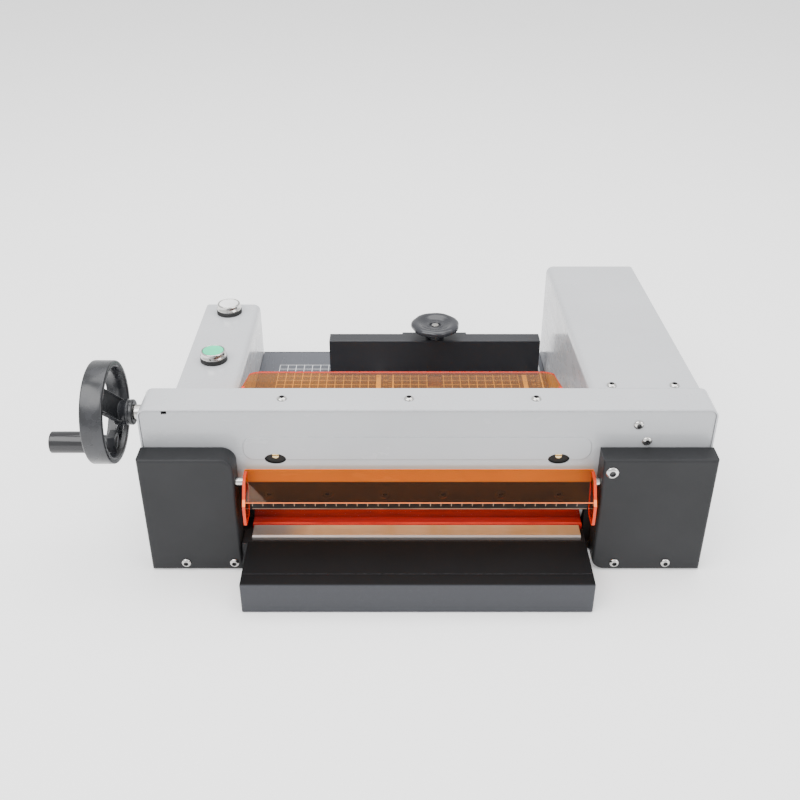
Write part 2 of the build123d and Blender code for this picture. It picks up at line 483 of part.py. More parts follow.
with BuildPart() as shaft_gears:
    for x in (SCREW_LEFT_X, SCREW_RIGHT_X):
        gear_plane = Plane(origin=(x, SHAFT_Y, SHAFT_Z), x_dir=(0, 1, 0), z_dir=(1, 0, 0))
        with BuildSketch(Plane(origin=(x, SHAFT_Y, SHAFT_Z), x_dir=(1, 0, 0), z_dir=(0, -1, 0))):
            small, large = MITER_PITCH - MITER_FACE, MITER_PITCH
            with BuildLine():
                Polyline((small - TIP_GAP, SHAFT_RADIUS), (small - TIP_GAP, small - 3 * TIP_GAP),
                         (large - TIP_GAP, large - 3 * TIP_GAP), (large + GEAR_BACK, large - 1.5),
                         (large + GEAR_BACK, SHAFT_RADIUS), close=True)
            make_face()
        revolve(axis=Axis((x, SHAFT_Y, SHAFT_Z), (1, 0, 0)))
        miter_teeth(gear_plane)
save("shaft_gears", shaft_gears)

with BuildPart() as shaft_bushes:
    for x in (LEFT_FRAME_X, RIGHT_FRAME_X):
        add(along_x(BUSH_RADIUS, x - FRAME_THICK / 2, x + FRAME_THICK / 2, SHAFT_Y, SHAFT_Z))
        add(along_x(SHAFT_RADIUS + RUNNING, x - FRAME_THICK, x + FRAME_THICK, SHAFT_Y, SHAFT_Z),
            mode=Mode.SUBTRACT)
save("shaft_bushes", shaft_bushes)

# ---- handwheel -----------------------------------------------------------------
RIM_MIDDLE_X = (WHEEL_INNER + WHEEL_OUTER) / 2
RIM_RADIAL, RIM_AXIAL, RIM_ROUND = 3.4, 10.1, 3.2
HUB_RADIUS, HUB_INNER, HUB_OUTER = 12.0, -260.6, -278.5
SPOKE_TURNS, SPOKE_WIDTH, SPOKE_THICK = (140.0, 320.0), 22.0, 6.0     # turns are from straight down
SPOKE_AT_HUB, SPOKE_AT_RIM = (-271.0, 4.0), (-284.5, WHEEL_RADIUS - RIM_RADIAL)     # (x, radius)
BOSS_RADIUS, BOSS_FACE, BOSS_BACK = 7.0, -298.4, -281.0
LUG_THICK, LUG_RISE = 8.0, 9.5     # the rise is above the handle's axis
SPINDLE_RADIUS, SPINDLE_INNER, COLLAR_RADIUS = 3.0, -283.0, 5.0
HANDLE_Z = SHAFT_Z - HANDLE_OFFSET
with BuildPart() as handwheel:
    with BuildSketch(Plane(origin=(RIM_MIDDLE_X, SHAFT_Y, SHAFT_Z), x_dir=(1, 0, 0), z_dir=(0, -1, 0))):
        with Locations((0, WHEEL_RADIUS - RIM_RADIAL)):
            RectangleRounded(2 * RIM_AXIAL, 2 * RIM_RADIAL, RIM_ROUND)
    revolve(axis=Axis((RIM_MIDDLE_X, SHAFT_Y, SHAFT_Z), (1, 0, 0)))
    add(along_x(BOSS_RADIUS, BOSS_FACE, BOSS_BACK, SHAFT_Y, HANDLE_Z))
    add(block(BOSS_BACK - LUG_THICK, BOSS_BACK, SHAFT_Y - BOSS_RADIUS, SHAFT_Y + BOSS_RADIUS,
              SHAFT_Z - SPOKE_AT_RIM[1], HANDLE_Z + LUG_RISE))
    add(along_x(HUB_RADIUS, HUB_OUTER, HUB_INNER, SHAFT_Y, SHAFT_Z))
    for turn in SPOKE_TURNS:
        spoke_plane = Plane(origin=(0, SHAFT_Y, SHAFT_Z), x_dir=(1, 0, 0), z_dir=(0, cos(turn), -sin(turn)))
        with BuildSketch(spoke_plane):
            with BuildLine():
                Polyline(SPOKE_AT_HUB, SPOKE_AT_RIM,
                         *[(x - SPOKE_THICK, radius) for x, radius in (SPOKE_AT_RIM, SPOKE_AT_HUB)], close=True)
            make_face()
        extrude(amount=SPOKE_WIDTH / 2, both=True)
    add(along_x(SHAFT_RADIUS, HUB_OUTER + 1, HUB_INNER + 1, SHAFT_Y, SHAFT_Z), mode=Mode.SUBTRACT)
    add(along_x(SPINDLE_RADIUS, BOSS_FACE - 1, SPINDLE_INNER, SHAFT_Y, HANDLE_Z), mode=Mode.SUBTRACT)
save("handwheel", handwheel)

COLLAR_END, CAP_LENGTH = BOSS_FACE - 1.0, 2.5
with BuildPart() as handle_spindle:
    add(along_x(SPINDLE_RADIUS, HANDLE_END + 3, SPINDLE_INNER, SHAFT_Y, HANDLE_Z))
    add(along_x(COLLAR_RADIUS, HANDLE_END + 1, HANDLE_END + 1 + CAP_LENGTH, SHAFT_Y, HANDLE_Z))
    add(along_x(COLLAR_RADIUS, COLLAR_END, BOSS_FACE, SHAFT_Y, HANDLE_Z))
save("handle_spindle", handle_spindle)

GRIP_INNER = COLLAR_END - 0.4
GRIP_RADIUS, GRIP_BORE = 10.4, SPINDLE_RADIUS + RUNNING
with BuildPart() as handle_grip:
    with BuildSketch(Plane(origin=(0, SHAFT_Y, HANDLE_Z), x_dir=(1, 0, 0), z_dir=(0, -1, 0))):
        with BuildLine():
            Polyline((HANDLE_END, GRIP_RADIUS - 1.6), (HANDLE_END + 1.6, GRIP_RADIUS),
                     (GRIP_INNER - 1, GRIP_RADIUS - 0.6),
                     (GRIP_INNER, GRIP_RADIUS - 1.6), (GRIP_INNER, GRIP_BORE), (HANDLE_END + 4, GRIP_BORE),
                     (HANDLE_END + 4, COLLAR_RADIUS + 0.4), (HANDLE_END, COLLAR_RADIUS + 0.4), close=True)
        make_face()
    revolve(axis=Axis((0, SHAFT_Y, HANDLE_Z), (1, 0, 0)))
save("handle_grip", handle_grip)

# ---- fasteners that show --------------------------------------------------------
HEAD_RADIUS, HEAD_HEIGHT, SHANK_RADIUS = 4.6, 2.5, 2.0
FRONT, TOP = (0, -1, 0), (0, 0, 1)


def right_arm_top(y):
    share = (y - ARM_FRONT) / (ARM_REAR - ARM_FRONT)
    return RIGHT_ARM_TOP_FRONT + share * (RIGHT_ARM_TOP_REAR - RIGHT_ARM_TOP_FRONT)


ARM_SCREW_Y = ARM_FRONT + 5
ARM_NORMAL = (0, (RIGHT_ARM_TOP_FRONT - RIGHT_ARM_TOP_REAR) / (ARM_REAR - ARM_FRONT), 1)
HOOD_SCREWS = [((x, 1.0, HOOD_TOP), TOP, 6.0) for x in (-123.6, -7.6, 108.5)]
ARM_SCREWS = [((x, ARM_SCREW_Y, right_arm_top(ARM_SCREW_Y)), ARM_NORMAL, 6.0) for x in (181.7, 240.4)]
PANEL_SCREWS = [((x, PANEL_FACE, z), FRONT, 1.8) for x, z in ((200.6, 151.7), (210.1, 134.3))]
COVER_SCREWS = [((x, COVER_FRONT, 9.5), FRONT, 6.0) for x in (-220.7, -174.5, 189.6, 238.5)]
BOLT = ((176.5, COVER_FRONT, 114.9), FRONT, 8.0)


def button_screw(seat, normal, shank, head_radius=HEAD_RADIUS):
    """A button-head socket screw whose head stands on the point seat."""
    plane = Plane(origin=seat, z_dir=normal)
    with BuildPart(mode=Mode.PRIVATE) as screw:
        with BuildSketch(plane):
            Circle(head_radius)
        extrude(amount=HEAD_HEIGHT)
        rim = screw.faces().sort_by(lambda f: (f.center() - plane.origin).dot(plane.z_dir))[-1].edges()
        fillet(rim, HEAD_HEIGHT * 0.8)
        with BuildSketch(plane.offset(HEAD_HEIGHT)):
            RegularPolygon(head_radius * 0.42, 6)
        extrude(amount=-1.4, mode=Mode.SUBTRACT)
        with BuildSketch(plane):
            Circle(SHANK_RADIUS)
        extrude(amount=-shank)
    return screw.part


def drill(*screws):
    """Cut the clearance holes of these screws from the part being built."""
    for seat, normal, shank in screws:
        hole = Cylinder(SHANK_RADIUS + RUNNING, 2 * shank + 2, mode=Mode.PRIVATE)
        add(Plane(origin=seat, z_dir=normal) * hole, mode=Mode.SUBTRACT)


with BuildPart() as cover_screws:
    for screw in HOOD_SCREWS + ARM_SCREWS + PANEL_SCREWS + COVER_SCREWS:
        add(button_screw(*screw))
save("cover_screws", cover_screws)

with BuildPart() as cover_bolt:
    add(button_screw(*BOLT, head_radius=6.0))
save("cover_bolt", cover_bolt)

# ---- sheet-metal hood, front panel and arm covers ------------------------------
BEND = 8.0
REAR_LIP_BOTTOM = 157.0                    # a lip along the throat
BACK_PLATE_BOTTOM = LEFT_ARM_TOP - 4.0     # a full plate closes the hood above the low left arm
SHAFT_HOLE_RADIUS = 6.0
with BuildPart() as hood:
    with BuildSketch(front_plane(HOOD_FRONT)):
        with BuildLine():
            FilletPolyline((HOOD_LEFT, BODY_BOTTOM), (HOOD_LEFT, HOOD_TOP), (HOOD_RIGHT, HOOD_TOP),
                           (HOOD_RIGHT, BODY_BOTTOM), radius=BEND)
            FilletPolyline((HOOD_RIGHT - SHEET, BODY_BOTTOM), (HOOD_RIGHT - SHEET, HOOD_TOP - SHEET),
                           (HOOD_LEFT + SHEET, HOOD_TOP - SHEET), (HOOD_LEFT + SHEET, BODY_BOTTOM),
                           radius=BEND - SHEET)
            Line((HOOD_RIGHT, BODY_BOTTOM), (HOOD_RIGHT - SHEET, BODY_BOTTOM))
            Line((HOOD_LEFT + SHEET, BODY_BOTTOM), (HOOD_LEFT, BODY_BOTTOM))
        make_face()
    extrude(amount=-(HOOD_REAR - HOOD_FRONT))
    add(block(WALL_LEFT, WALL_RIGHT, HOOD_REAR - SHEET, HOOD_REAR, REAR_LIP_BOTTOM, HOOD_TOP - 0.5))
    add(block(HOOD_LEFT + SHEET / 2, WALL_LEFT, HOOD_REAR - SHEET, HOOD_REAR,
              BACK_PLATE_BOTTOM, HOOD_TOP - BEND / 2))
    add(along_x(SHAFT_HOLE_RADIUS, HOOD_LEFT - 1, HOOD_LEFT + 3, SHAFT_Y, SHAFT_Z), mode=Mode.SUBTRACT)
    drill(*HOOD_SCREWS)
save("hood", hood)

PAD_HALF, PAD_BOTTOM, PAD_TOP, PAD_RAISE, PAD_CORNER = 160.0, 113.8, 138.7, 0.8, 10.0
NOTCH_X, NOTCH_WIDTH, NOTCH_DEPTH, PANEL_CORNER = -228.5, 5.0, 3.5, 6.0
ACCESS_LENGTH, ACCESS_HEIGHT, ACCESS_Z = 20.0, 12.0, 114.5
with BuildPart() as front_panel:
    with BuildSketch(front_plane(PANEL_FACE)):
        with Locations(((HOOD_LEFT + HOOD_RIGHT) / 2, (PANEL_BOTTOM + PANEL_TOP) / 2)):
            panel_outline = Rectangle(HOOD_RIGHT - HOOD_LEFT - 2 * SHEET - 1, PANEL_TOP - PANEL_BOTTOM)
        fillet(panel_outline.vertices().group_by(Axis.Z)[-1], PANEL_CORNER)
        with Locations((NOTCH_X, PANEL_TOP)):
            Rectangle(NOTCH_WIDTH, 2 * NOTCH_DEPTH, mode=Mode.SUBTRACT)
    extrude(amount=-PANEL_SHEET)
    with BuildSketch(front_plane(PANEL_FACE)):
        with Locations((0, (PAD_BOTTOM + PAD_TOP) / 2)):
            RectangleRounded(2 * PAD_HALF, PAD_TOP - PAD_BOTTOM, PAD_CORNER)
    extrude(amount=PAD_RAISE)
    fillet(front_panel.faces().sort_by(Axis.Y)[0].edges(), 0.7)
    with BuildSketch(front_plane(PANEL_FACE - 2)):
        for x in ADJUSTER_X:
            with Locations((x, ACCESS_Z)):
                Ellipse(ACCESS_LENGTH / 2, ACCESS_HEIGHT / 2)
    extrude(amount=-5, mode=Mode.SUBTRACT)
    drill(*PANEL_SCREWS)
save("front_panel", front_panel)


def arm_cover(x_outer, x_inner, top_front, top_rear):
    """A bent sheet box over one arm, open at the front and below."""
    low_x, high_x = sorted((x_outer, x_inner))
    with BuildPart() as cover:
        with BuildSketch(side_plane(low_x)):
            with BuildLine():
                Polyline((ARM_FRONT, BODY_BOTTOM), (ARM_REAR, BODY_BOTTOM), (ARM_REAR, top_rear),
                         (ARM_FRONT, top_front), close=True)
            make_face()
        extrude(amount=high_x - low_x)
        top_edges = cover.faces().sort_by(Axis.Z)[-1].edges()
        long_edges = top_edges.filter_by(lambda e: e.length > 200).sort_by(Axis.X)
        inner_edge = long_edges[-1] if x_inner > x_outer else long_edges[0]
        outer_edge = long_edges[0] if x_inner > x_outer else long_edges[-1]
        fillet(inner_edge, BEND)
        fillet(outer_edge, 3)
        fillet(cover.edges().filter_by(Axis.Z).group_by(Axis.Y)[-1], 4)
        openings = [cover.faces().sort_by(Axis.Y)[0], cover.faces().sort_by(Axis.Z)[0]]
        offset(amount=-SHEET, openings=openings)
        wall_x = sorted((x_inner + SHEET + 1, x_inner - SHEET - 1))
        add(block(*wall_x, ARM_FRONT - 1, PAN_REAR + 1, 0, PAN_TOP + 0.3), mode=Mode.SUBTRACT)
    return cover


left_arm_cover = arm_cover(ARM_LEFT, WALL_LEFT, LEFT_ARM_TOP, LEFT_ARM_TOP)
right_arm_cover = arm_cover(ARM_RIGHT, WALL_RIGHT, RIGHT_ARM_TOP_FRONT, RIGHT_ARM_TOP_REAR)
BUTTON_STEM_RADIUS = 11.0
with BuildPart() as left_arm_shell:
    add(left_arm_cover.part)
    for y in (GREEN_Y, WHITE_Y):
        add(along_z(BUTTON_STEM_RADIUS, LEFT_ARM_TOP - 3, LEFT_ARM_TOP + 1, BUTTON_X, y), mode=Mode.SUBTRACT)
save("left_arm_cover", left_arm_shell)

INLET_X, SWITCH_X, REAR_FITTING_Z = 236.0, 200.0, 42.0
INLET_HALF, SWITCH_HALF = (13.5, 9.7), (9.5, 6.4)       # half width and half height behind the flange
LOUVRE_LEFT, LOUVRE_RIGHT, LOUVRE_HALF = 185.0, 240.0, 1.5
with BuildPart() as right_arm_shell:
    add(right_arm_cover.part)
    for x, (half_x, half_z) in ((INLET_X, INLET_HALF), (SWITCH_X, SWITCH_HALF)):
        add(block(x - half_x - 0.1, x + half_x + 0.1, ARM_REAR - 3, ARM_REAR + 1,
                  REAR_FITTING_Z - half_z - 0.1, REAR_FITTING_Z + half_z + 0.1), mode=Mode.SUBTRACT)
    for z in range(80, 125, 8):
        add(block(LOUVRE_LEFT, LOUVRE_RIGHT, ARM_REAR - 3, ARM_REAR + 1, z - LOUVRE_HALF, z + LOUVRE_HALF),
            mode=Mode.SUBTRACT)
    drill(*ARM_SCREWS)
save("right_arm_cover", right_arm_shell)


def front_cover(x0, x1, inner_is_right):
    """A black five-sided shell over one end of the knife guides, open to the rear."""
    inner_round, outer_round = 13.0, 7.0
    with BuildPart() as cover:
        with BuildSketch(front_plane(COVER_FRONT)):
            with Locations(((x0 + x1) / 2, (COVER_BOTTOM + COVER_TOP) / 2)):
                outline = Rectangle(x1 - x0, COVER_TOP - COVER_BOTTOM)
            top_pair = outline.vertices().group_by(Axis.Z)[-1].sort_by(Axis.X)
            low_pair = outline.vertices().group_by(Axis.Z)[0].sort_by(Axis.X)
            inner, outer = (-1, 0) if inner_is_right else (0, -1)
            inner_top, outer_top, outer_low = top_pair[inner], top_pair[outer], low_pair[outer]
            fillet(inner_top, inner_round)
            fillet([outer_top, outer_low], outer_round)
        extrude(amount=-(COVER_BACK - COVER_FRONT))
        fillet(cover.faces().sort_by(Axis.Y)[0].edges(), 2.5)
        offset(amount=-COVER_WALL, openings=cover.faces().sort_by(Axis.Y)[-1])
    return cover


PIVOT_Y, PIVOT_Z = GUARD_PIVOT
for name, limits, inner_is_right, screws in (
        ("left_front_cover", LEFT_COVER, True, COVER_SCREWS[:2]),
        ("right_front_cover", RIGHT_COVER, False, COVER_SCREWS[2:] + [BOLT])):
    shell = front_cover(*limits, inner_is_right)
    inner_x = limits[1] if inner_is_right else limits[0]
    with BuildPart() as bored_cover:
        add(shell.part)
        add(along_x(PIN_RADIUS + RUNNING, inner_x - 4, inner_x + 4, PIVOT_Y, PIVOT_Z), mode=Mode.SUBTRACT)
        drill(*screws)
    save(name, bored_cover)


# ---- transparent guards ---------------------------------------------------------
def guard_slab(x0, x1, near, far, thick):
    """A flat plate from the near edge to the far edge, thick below its upper face."""
    run, rise = far[0] - near[0], far[1] - near[1]
    length = math.hypot(run, rise)
    plane = Plane(origin=(x0, near[0], near[1]), x_dir=(0, run / length, rise / length), z_dir=(1, 0, 0))
    down = -1 if run > 0 else 1
    plate = Box(length, thick, x1 - x0, mode=Mode.PRIVATE)
    return plane * Pos(length / 2, down * thick / 2, (x1 - x0) / 2) * plate


END_PLATE = [(-21.5, 103.0), (-24.0, 92.0), (-29.0, GUARD_PLATE_BOTTOM + 4), (-33.0, GUARD_PLATE_BOTTOM),
             (-50.5, GUARD_PLATE_BOTTOM), (-50.5, 84.0), (-37.0, 103.5), (-24.5, 106.0)]
with BuildPart() as front_guard:
    add(guard_slab(GUARD_LEFT, GUARD_RIGHT, GUARD_TOP_EDGE, GUARD_LOW_EDGE, GUARD_SHEET))
    for x0 in (GUARD_LEFT, GUARD_RIGHT - GUARD_SHEET):
        with BuildSketch(side_plane(x0)) as end_outline:
            with BuildLine():
                Polyline(*END_PLATE, close=True)
            make_face()
            fillet(end_outline.vertices(), 2.0)
        extrude(amount=GUARD_SHEET)
        add(along_x(PIN_RADIUS, x0 - 1, x0 + GUARD_SHEET + 1, PIVOT_Y, PIVOT_Z), mode=Mode.SUBTRACT)
save("front_guard", front_guard)

with BuildPart() as front_guard_pins:
    add(along_x(PIN_RADIUS, LEFT_COVER[1] - COVER_WALL - 1, GUARD_LEFT + GUARD_SHEET, PIVOT_Y, PIVOT_Z))
    add(along_x(PIN_RADIUS + 1.5, LEFT_COVER[1] + 0.4, GUARD_LEFT, PIVOT_Y, PIVOT_Z))
    add(along_x(PIN_RADIUS, GUARD_RIGHT - GUARD_SHEET, RIGHT_COVER[0] + COVER_WALL + 1, PIVOT_Y, PIVOT_Z))
    add(along_x(PIN_RADIUS + 1.5, GUARD_RIGHT, RIGHT_COVER[0] - 0.4, PIVOT_Y, PIVOT_Z))
save("front_guard_pins", front_guard_pins)

EAR_RADIUS, EAR_LENGTH, EAR_BOTTOM = 4.6, 60.0, 129.0
with BuildPart() as rear_guard:
    add(guard_slab(REAR_GUARD_LEFT, REAR_GUARD_RIGHT, REAR_GUARD_NEAR, REAR_GUARD_FAR, GUARD_SHEET))
    fillet(rear_guard.edges().filter_by(lambda e: e.length < 4).group_by(Axis.Y)[-1], 12)
    pivot_y, pivot_z = REAR_PIVOT
    slope = (REAR_GUARD_FAR[1] - REAR_GUARD_NEAR[1]) / (REAR_GUARD_FAR[0] - REAR_GUARD_NEAR[0])
    for x0 in (REAR_GUARD_LEFT, REAR_GUARD_RIGHT - GUARD_SHEET):
        with BuildSketch(side_plane(x0)):
            with BuildLine():
                Polyline((pivot_y - 4, pivot_z - 3), (pivot_y + 8, pivot_z - 10),
                         (pivot_y + EAR_LENGTH, EAR_BOTTOM),
                         (pivot_y + EAR_LENGTH, REAR_GUARD_NEAR[1] - 1 + slope * (EAR_LENGTH - 4)),
                         (pivot_y + 4, REAR_GUARD_NEAR[1] - 0.4), close=True)
            make_face()
            with Locations((pivot_y, pivot_z)):
                Circle(EAR_RADIUS)
        extrude(amount=GUARD_SHEET)
        add(along_x(PIN_RADIUS + RUNNING, x0 - 1, x0 + GUARD_SHEET + 1, pivot_y, pivot_z), mode=Mode.SUBTRACT)
save("rear_guard", rear_guard)

BRACKET_GAP, BRACKET_SHEET = 4.0, 4.0
left_bracket_x = REAR_GUARD_LEFT - BRACKET_GAP - BRACKET_SHEET
right_bracket_x = REAR_GUARD_RIGHT + BRACKET_GAP
with BuildPart() as rear_guard_brackets:
    for x0 in (left_bracket_x, right_bracket_x):
        add(block(x0, x0 + BRACKET_SHEET, FRAME_REAR, pivot_y + 5, pivot_z - 6, pivot_z + 6))
    add(along_x(PIN_RADIUS, left_bracket_x, REAR_GUARD_LEFT + GUARD_SHEET + 1, pivot_y, pivot_z))
    add(along_x(PIN_RADIUS, REAR_GUARD_RIGHT - GUARD_SHEET - 1, right_bracket_x + BRACKET_SHEET,
                pivot_y, pivot_z))
save("rear_guard_brackets", rear_guard_brackets)

# ---- back gauge -------------------------------------------------------------------
STUD_RADIUS, FENCE_BOTTOM = 4.0, TABLE_TOP + 0.3
FENCE_BOSS_LEFT, FENCE_BOSS_RIGHT, FENCE_BOSS_DEPTH = -13.0, 64.0, 4.0
with BuildPart() as gauge_fence:
    add(block(FENCE_LEFT, FENCE_RIGHT, FENCE_FRONT, FENCE_BACK, FENCE_BOTTOM, FENCE_TOP))
    add(block(FENCE_BOSS_LEFT, FENCE_BOSS_RIGHT, FENCE_BACK, FENCE_BACK + FENCE_BOSS_DEPTH,
              FENCE_BOTTOM, FENCE_TOP))
    chamfer(gauge_fence.faces().sort_by(Axis.Z)[-1].edges(), 0.8)
    add(along_z(STUD_RADIUS + 0.1, TABLE_TOP - 1, FENCE_TOP + 1, SLOT_X, KNOB_Y), mode=Mode.SUBTRACT)
save("gauge_fence", gauge_fence)

SLIDE_NECK, SLIDE_FOOT, SLIDE_BOTTOM, SLIDE_STEP = 16.0, 26.0, 23.0, 31.7
SLIDE_FRONT, SLIDE_BACK = 268.0, 294.0
KNOB_BOTTOM, KNOB_DISC, KNOB_TOP = FENCE_TOP + 0.5, 92.5, 104.0
with BuildPart() as gauge_slide:
    for width, z0, z1 in ((SLIDE_NECK, SLIDE_STEP, TABLE_TOP), (SLIDE_FOOT, SLIDE_BOTTOM, SLIDE_STEP)):
        add(block(SLOT_X - width / 2, SLOT_X + width / 2, SLIDE_FRONT, SLIDE_BACK, z0, z1))
    add(along_z(STUD_RADIUS, SLIDE_BOTTOM, KNOB_TOP - 3.5, SLOT_X, KNOB_Y))
save("gauge_slide", gauge_slide)

with BuildPart() as gauge_knob:
    with BuildSketch(Plane.XY.offset(KNOB_DISC)):
        with Locations((SLOT_X, KNOB_Y)):
            Circle(KNOB_RADIUS - 1.5)
        for i in range(KNOB_LOBES):
            turn = i * 360 / KNOB_LOBES + 12
            with Locations((SLOT_X + (KNOB_RADIUS + 5) * cos(turn), KNOB_Y + (KNOB_RADIUS + 5) * sin(turn))):
                Circle(9.5, mode=Mode.SUBTRACT)
    extrude(amount=KNOB_TOP - KNOB_DISC)
    fillet(gauge_knob.faces().sort_by(Axis.Z)[-1].edges(), 3.5)
    fillet(gauge_knob.faces().sort_by(Axis.Z)[0].edges(), 2.0)
    add(along_z(12, KNOB_BOTTOM, KNOB_DISC + 1, SLOT_X, KNOB_Y))
    add(along_z(8, KNOB_TOP - 3, KNOB_TOP + 1, SLOT_X, KNOB_Y), mode=Mode.SUBTRACT)
    add(along_z(STUD_RADIUS + RUNNING, KNOB_BOTTOM - 1, KNOB_TOP + 1, SLOT_X, KNOB_Y), mode=Mode.SUBTRACT)
save("gauge_knob", gauge_knob)

# ---- push buttons -------------------------------------------------------------------
GASKET_HEIGHT, BEZEL_TOP, CAP_TOP = 5.0, 12.5, 13.2
with BuildPart() as button_gaskets:
    for y in (GREEN_Y, WHITE_Y):
        add(along_z(BEZEL_RADIUS + 0.4, LEFT_ARM_TOP, LEFT_ARM_TOP + GASKET_HEIGHT, BUTTON_X, y))
        add(along_z(BUTTON_STEM_RADIUS, LEFT_ARM_TOP - 1, LEFT_ARM_TOP + GASKET_HEIGHT + 1, BUTTON_X, y),
            mode=Mode.SUBTRACT)
save("button_gaskets", button_gaskets)

with BuildPart() as button_bezels:
    for y in (GREEN_Y, WHITE_Y):
        with BuildSketch(Plane(origin=(BUTTON_X, y, LEFT_ARM_TOP), x_dir=(1, 0, 0), z_dir=(0, -1, 0))):
            with BuildLine():
                Polyline((CAP_RADIUS + 0.3, BEZEL_TOP), (BEZEL_RADIUS - 1.6, BEZEL_TOP),
                         (BEZEL_RADIUS - 0.4, BEZEL_TOP - 2.0), (BEZEL_RADIUS, GASKET_HEIGHT),
                         (BUTTON_STEM_RADIUS - 0.1, GASKET_HEIGHT), (BUTTON_STEM_RADIUS - 0.1, -14),
                         (BUTTON_STEM_RADIUS - 2.4, -14), (BUTTON_STEM_RADIUS - 2.4, GASKET_HEIGHT + 0.8),
                         (CAP_RADIUS + 0.3, GASKET_HEIGHT + 0.8), close=True)
            make_face()
        revolve(axis=Axis((BUTTON_X, y, 0), (0, 0, 1)))
save("button_bezels", button_bezels)


def button_cap(y):
    """A push cap with its stem; it sinks towards the contact block."""
    with BuildPart() as cap:
        add(along_z(CAP_RADIUS, LEFT_ARM_TOP + CAP_TOP - 3.2, LEFT_ARM_TOP + CAP_TOP, BUTTON_X, y))
        fillet(cap.faces().sort_by(Axis.Z)[-1].edges(), 1.0)
        add(along_z(8.2, LEFT_ARM_TOP - 12, LEFT_ARM_TOP + CAP_TOP - 3.2, BUTTON_X, y))
    return cap


save("green_button", button_cap(GREEN_Y))
save("white_button", button_cap(WHITE_Y))

CONTACT_HALF_X, CONTACT_HALF_Y, CONTACT_BOTTOM, CONTACT_TOP = 14.0, 20.0, LEFT_ARM_TOP - 50, LEFT_ARM_TOP - 16
CLIP_X, CLIP_HALF = 12.6, (1.2, 6.0)
with BuildPart() as contact_blocks:
    for y in (GREEN_Y, WHITE_Y):
        add(block(BUTTON_X - CONTACT_HALF_X, BUTTON_X + CONTACT_HALF_X, y - CONTACT_HALF_Y, y + CONTACT_HALF_Y,
                  CONTACT_BOTTOM, CONTACT_TOP))
        for terminal_y in (y - 13, y + 13):
            add(block(BUTTON_X - 9, BUTTON_X + 9, terminal_y - 4, terminal_y + 4,
                      CONTACT_BOTTOM - 2, CONTACT_BOTTOM + 4), mode=Mode.SUBTRACT)
        for clip_x in (BUTTON_X - CLIP_X, BUTTON_X + CLIP_X):
            add(block(clip_x - CLIP_HALF[0], clip_x + CLIP_HALF[0], y - CLIP_HALF[1], y + CLIP_HALF[1],
                      CONTACT_TOP, LEFT_ARM_TOP - SHEET))
save("contact_blocks", contact_blocks)

# ---- electrics -----------------------------------------------------------------------
TRANSFORMER_X, TRANSFORMER_Y, CORE_HEIGHT = -222.0, 115.0, 58.0
with BuildPart() as transformer:
    for half_x, half_y, z0, z1 in ((18, 35, 0, CORE_HEIGHT),            # core
                                   (24, 20, 10, CORE_HEIGHT - 10),      # winding
                                   (27.5, 41, 0, 2.5)):                 # mounting foot
        add(block(TRANSFORMER_X - half_x, TRANSFORMER_X + half_x, TRANSFORMER_Y - half_y,
                  TRANSFORMER_Y + half_y, PAN_TOP + z0, PAN_TOP + z1))
save("transformer", transformer)

BOARD_BOTTOM, BOARD_TOP = 20.0, 21.6
BOARD = (176, 250, 215, 305)
RELAY_PITCH, RELAY_WIDTH, RELAY_HEIGHT = 22, 17, 16
with BuildPart() as control_board:
    add(block(*BOARD, BOARD_BOTTOM, BOARD_TOP))
    for x in (BOARD[0] + 4, BOARD[1] - 4):
        for y in (BOARD[2] + 4, BOARD[3] - 4):
            add(along_z(2.5, PAN_TOP, BOARD_BOTTOM, x, y))              # standoffs
    for i in range(3):
        relay_x = BOARD[0] + 6 + RELAY_PITCH * i
        add(block(relay_x, relay_x + RELAY_WIDTH, 228, 256, BOARD_TOP, BOARD_TOP + RELAY_HEIGHT))
    for x in (192, 216):
        add(along_z(8, BOARD_TOP, 46, x, 282))                          # capacitors
    add(block(232, 246, 266, 298, BOARD_TOP, 33))                       # terminal strip
save("control_board", control_board)


def fitting(x, half, y0, y1):
    """A block centred on a rear fitting, given by its half width and half height."""
    return block(x - half[0], x + half[0], y0, y1, REAR_FITTING_Z - half[1], REAR_FITTING_Z + half[1])


INLET_FLANGE, INLET_MOUTH, INLET_DEPTH, CONTACT_PITCH = (15.5, 12), (12, 8), 14.0, 7
with BuildPart() as power_inlet:
    add(fitting(INLET_X, INLET_FLANGE, ARM_REAR, ARM_REAR + 2))
    fillet(power_inlet.edges().filter_by(Axis.Y), 3)
    add(fitting(INLET_X, INLET_HALF, ARM_REAR - INLET_DEPTH - 2, ARM_REAR))
    add(fitting(INLET_X, INLET_MOUTH, ARM_REAR - INLET_DEPTH, ARM_REAR + 3), mode=Mode.SUBTRACT)
    for x, lift in ((-CONTACT_PITCH, -2), (0, 2), (CONTACT_PITCH, -2)):
        add(block(INLET_X + x - 1, INLET_X + x + 1, ARM_REAR - INLET_DEPTH, ARM_REAR - 1,
                  REAR_FITTING_Z + lift - 2, REAR_FITTING_Z + lift + 2))
save("power_inlet", power_inlet)

